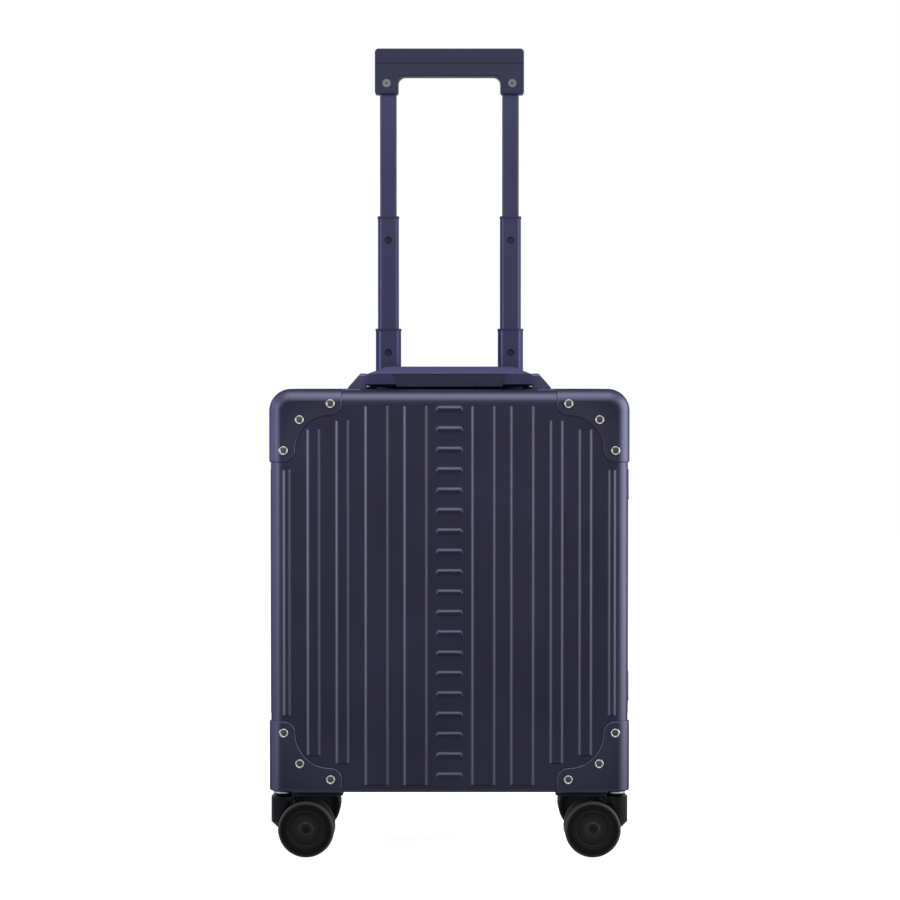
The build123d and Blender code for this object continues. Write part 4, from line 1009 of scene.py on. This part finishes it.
# %% Soft boxes and loops
def soft_box(low, high, corner, edge, turn=0.0):
    """A thin rounded box in millimetres, lying across Y and turned about its own middle in radians."""
    low, high = Vector(low) * mm, Vector(high) * mm
    shape = bmesh.new()
    bmesh.ops.create_cube(shape, size=1.0)
    bmesh.ops.scale(shape, vec=high - low, verts=shape.verts)
    upright = [e for e in shape.edges if abs(e.verts[0].co.y - e.verts[1].co.y) > e.calc_length() * 0.9]
    bmesh.ops.bevel(
        shape, geom=upright, offset=corner * mm, segments=6, profile=0.5, affect="EDGES", material=-1
    )
    rim = [e for e in shape.edges if e.calc_face_angle(0) > 0.6]
    bmesh.ops.bevel(shape, geom=rim, offset=edge * mm, segments=2, profile=0.5, affect="EDGES", material=-1)
    bmesh.ops.rotate(shape, verts=shape.verts, cent=(0, 0, 0), matrix=Matrix.Rotation(turn, 3, "Y"))
    bmesh.ops.translate(shape, vec=(low + high) / 2, verts=shape.verts)
    return shape


def piped_loop(half_x, low_z, high_z, corner, y, radius, steps=8):
    """A round cord, in millimetres, that follows a rounded rectangle."""
    path = []
    for number, (x, z) in enumerate(((half_x, high_z), (-half_x, high_z), (-half_x, low_z), (half_x, low_z))):
        middle = Vector((x - math.copysign(corner, x), y, z - corner if z == high_z else z + corner))
        for step in range(steps + 1):
            angle = math.pi / 2 * (number + step / steps)
            path.append((middle, Vector((math.cos(angle), 0, math.sin(angle)))))
    shape = bmesh.new()
    rings = []
    for middle, out in path:
        spot = middle + out * corner
        turns = [math.tau * k / 8 for k in range(8)]
        rings.append([
            shape.verts.new(
                (spot + (out * math.cos(a) + Vector((0, 1, 0)) * math.sin(a)) * radius) * mm
            )
            for a in turns
        ])
    for first, second in zip(rings, rings[1:] + rings[:1]):
        for k in range(8):
            shape.faces.new((first[k], first[(k + 1) % 8], second[(k + 1) % 8], second[k]))
    bmesh.ops.recalc_face_normals(shape, faces=shape.faces)
    return shape


def sewn_piece(name, shapes, body, finish):
    """Join some shapes into one finished piece that rides on a body."""
    whole = bmesh.new()
    for shape in shapes:
        copy = to_mesh(shape, "copy")
        whole.from_mesh(copy)
        bpy.data.meshes.remove(copy)
    return shade(link_piece(name, to_mesh(whole, name), body, None, (), [finish]))


# %% Crossed straps and their buckle
floor_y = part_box("rear_lining")[1].y / mm - 1.2
middle = middle_z / mm
reach_x, reach_z = 138.0, 150.0
lean = math.atan2(reach_z, reach_x)
half_strap = math.hypot(reach_x, reach_z)
straps, patches = [], []
for side, lift in ((1, 0.2), (-1, 1.1)):
    low = (-half_strap, floor_y - lift - 0.8, middle - 14)
    high = (half_strap, floor_y - lift, middle + 14)
    straps.append(soft_box(low, high, 2.0, 0.25, side * lean))
    for end in (-1, 1):
        x, z = end * reach_x, middle - end * side * reach_z
        low, high = (x - 21, floor_y - 3.0, z - 17), (x + 21, floor_y - 0.1, z + 17)
        patches.append(soft_box(low, high, 6.0, 0.8, side * lean))
rising = sewn_piece("rising_strap", straps[:1], "rear_half", "strap_webbing")
falling = sewn_piece("falling_strap", straps[1:], "rear_half", "strap_webbing")
rising_patches = sewn_piece("rising_strap_patches", patches[:2], "rear_half", "moulding_dark")
falling_patches = sewn_piece("falling_strap_patches", patches[2:], "rear_half", "moulding_dark")
buckle = [soft_box((-26, floor_y - 10.5, middle - 19), (26, floor_y - 2.2, middle + 19), 9.0, 2.2)]
for side in (-1, 1):
    buckle.append(
        soft_box(
            (side * 27 - 5, floor_y - 8.5, middle - 12), (side * 27 + 5, floor_y - 3.4, middle + 12),
            4.0, 1.4
        )
    )
buckle_piece = sewn_piece("strap_buckle", buckle, "rear_half", "moulding_dark")
print("straps", round(2 * half_strap), "mm long")

# %% Lid pocket and its zip
back_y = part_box("front_lining")[0].y / mm + 1.2
low_z, high_z, zip_z = middle - 148, middle + 132, middle + 110
pocket = [soft_box((-140, back_y + 0.1, low_z), (140, back_y + 2.4, high_z), 22.0, 0.9)]
pocket_piece = sewn_piece("lid_pocket", pocket, "front_half", "lining_cloth")
piping = sewn_piece(
    "pocket_piping", [piped_loop(140, low_z, high_z, 22, back_y + 1.9, 1.6)], "front_half", "strap_webbing"
)
tape = [soft_box((-118, back_y + 2.3, zip_z - 8), (118, back_y + 3.0, zip_z + 8), 3.0, 0.25)]
tape_piece = sewn_piece("zip_tape", tape, "front_half", "strap_webbing")
teeth = []
for number in range(92):
    x = -109.2 + 2.4 * number
    teeth.append(
        soft_box(
            (x - 0.75, back_y + 2.9, zip_z - 1.9), (x + 0.75, back_y + 4.1, zip_z + 1.9), 0.35, 0.2
        )
    )
teeth_piece = sewn_piece("zip_teeth", teeth, "front_half", "moulding_dark")
slider = [
    soft_box((96, back_y + 3.0, zip_z - 3.6), (105, back_y + 5.8, zip_z + 3.6), 1.6, 0.8),
    soft_box((98.4, back_y + 5.7, zip_z - 24), (102.6, back_y + 6.9, zip_z + 1.5), 1.9, 0.3),
]
slider_piece = sewn_piece("zip_slider", slider, "front_half", "fitting_steel")
print("zip teeth", len(teeth))

# %% [markdown]
# ## Rests under the carry handle
#
# A small moulded block under each end of the handle, on which it lies when it is down.

# %% Rests
top_of_rear = case_top / mm
rests = [
    soft_box(
        (side * 81.5 - 5.0, 24, top_of_rear - 0.1), (side * 81.5 + 5.0, 46, top_of_rear + 4.15), 1.2, 0.6
    )
    for side in (-1, 1)
]
sewn_piece("handle_rests", rests, "rear_half", "moulding_dark")

# %% [markdown]
# ## Everything machined or moulded
#
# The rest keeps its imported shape, with broken edges that suit each piece: hardly any on thin sheet,
# more on castings and mouldings.

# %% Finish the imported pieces
edge_sizes = {"number_dial": 0.15, "caster_fork": 0.9, "carry_handle": 0.7, "corner_guards": 1.0,
              "frame_seal": 0.0, "lining": 0.0, "sleeves": 0.0, "tubes": 0.2}
own_finish = {"carry_handle": ["handle_blue"]}
done = ("front_shell", "rear_shell", "front_guard_rivets", "rear_guard_rivets", "front_caster_plates",
        "rear_caster_plates", "grip_screws", *wheel_nodes)
for node in sorted(nodes):
    if node not in done:
        sizes = [size for word, size in edge_sizes.items() if word in node]
        clamp = "corner_guards" not in node
        finish_node(node, sizes[0] if sizes else 0.3, finish=own_finish.get(node), clamp=clamp)

# %% [markdown]
# ## Floor, light and camera
#
# A plain white studio with four lamps: a large one high in front, a nearer one on the right, a tall one
# in front on the left and a weak bluish fill behind it. The white surround is there for the satin
# metal to reflect. The floor shows as white to the eye and in reflections, less the object's shadow.

# %% Stage
white = display(255, 255, 255)


def seen_directly(tree, *kinds):
    """1 for rays of the named kinds from the Light Path node, 0 for the rest."""
    path = tree.nodes.new("ShaderNodeLightPath")
    seen = path.outputs[kinds[0]]
    for kind in kinds[1:]:
        seen = add_math(tree, "MAXIMUM", seen, path.outputs[kind])
    return seen


def stage_material(name, glow, mirrored, grey):
    """The eye sees a glow plus a little plain diffuse, which keeps the shadow; mirrors see a fainter glow."""
    material = bpy.data.materials.new(name)
    material.use_nodes = True
    tree = material.node_tree
    tree.nodes.remove(tree.nodes["Principled BSDF"])
    plain = add_node(tree, "ShaderNodeBsdfDiffuse", Color=display(200, 200, 200))
    faint = add_node(tree, "ShaderNodeBsdfDiffuse", Color=grey)
    light = add_node(tree, "ShaderNodeEmission", Color=white, Strength=glow)
    reflected = add_node(tree, "ShaderNodeEmission", Color=white, Strength=mirrored)
    both = tree.nodes.new("ShaderNodeAddShader")
    tree.links.new(light.outputs[0], both.inputs[0])
    tree.links.new(faint.outputs[0], both.inputs[1])
    mirror = tree.nodes.new("ShaderNodeMixShader")
    tree.links.new(seen_directly(tree, "Is Glossy Ray", "Is Transmission Ray"), mirror.inputs[0])
    tree.links.new(plain.outputs[0], mirror.inputs[1])
    tree.links.new(reflected.outputs[0], mirror.inputs[2])
    eye = tree.nodes.new("ShaderNodeMixShader")
    tree.links.new(seen_directly(tree, "Is Camera Ray"), eye.inputs[0])
    tree.links.new(mirror.outputs[0], eye.inputs[1])
    tree.links.new(both.outputs[0], eye.inputs[2])
    tree.links.new(eye.outputs[0], tree.nodes["Material Output"].inputs["Surface"])
    return material


floor_shape = bmesh.new()
bmesh.ops.create_grid(floor_shape, x_segments=1, y_segments=1, size=40.0)
floor = bpy.data.objects.new("floor", to_mesh(floor_shape, "floor"))
floor.data.materials.append(stage_material("studio_floor", 0.92, 0.62, display(186, 186, 186)))
bpy.context.scene.collection.objects.link(floor)
floor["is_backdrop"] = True

# %% World and lamps
world = bpy.data.worlds.new("studio")
bpy.context.scene.world = world
world.use_nodes = True
sky = world.node_tree.nodes["Background"]
seen = seen_directly(world.node_tree, "Is Camera Ray", "Is Glossy Ray", "Is Transmission Ray")
level = add_math(world.node_tree, "MULTIPLY_ADD", seen, 0.8, 0.2)
world.node_tree.links.new(level, sky.inputs["Strength"])
sky.inputs["Color"].default_value = white


def lamp(name, place, aim, width, height, power, tint=(1, 1, 1)):
    """A rectangular soft lamp that looks at a point."""
    light = bpy.data.lights.new(name, "AREA")
    light.shape = "RECTANGLE"
    light.size, light.size_y = width, height
    light.energy = power
    light.color = tint
    holder = bpy.data.objects.new(name, light)
    holder.location = place
    holder.rotation_euler = (Vector(aim) - Vector(place)).to_track_quat("-Z", "Y").to_euler()
    holder.visible_camera = False
    bpy.context.scene.collection.objects.link(holder)
    return holder


lamp("top_lamp", (0.0, -1.25, 2.05), (0, -0.1, 0.45), 1.7, 2.1, 38)
lamp("right_lamp", (1.07, -0.07, 0.45), (0.11, 0.216, 0.42), 1.6, 1.4, 28)
lamp("left_lamp", (-1.81, -1.53, 0.5), (-0.14, -0.1, 0.4), 1.0, 1.6, 27, (0.97, 0.98, 1.03))
lamp("left_fill", (-1.25, 0.45, 0.5), (-0.15, 0.0, 0.4), 1.4, 1.4, 10, (0.78, 0.82, 1.2))

# %% Camera
bpy.context.scene.view_settings.view_transform = "Standard"
lens = bpy.data.cameras.new("camera")
lens.lens = 108
lens.sensor_width = 36
camera = bpy.data.objects.new("camera", lens)
camera.location = (0.0006, -2.805, 0.47475)
camera.rotation_euler = (math.radians(90 - 1.36), 0, 0)
bpy.context.scene.collection.objects.link(camera)
bpy.context.scene.camera = camera

# %% Measure
dressed_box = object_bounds()
sizes = {
    "cad": [list(cad_box[0]), list(cad_box[1])],
    "visual": [list(dressed_box[0]), list(dressed_box[1])],
}
print("dressed box", [round(side, 4) for side in dressed_box[1] - dressed_box[0]])
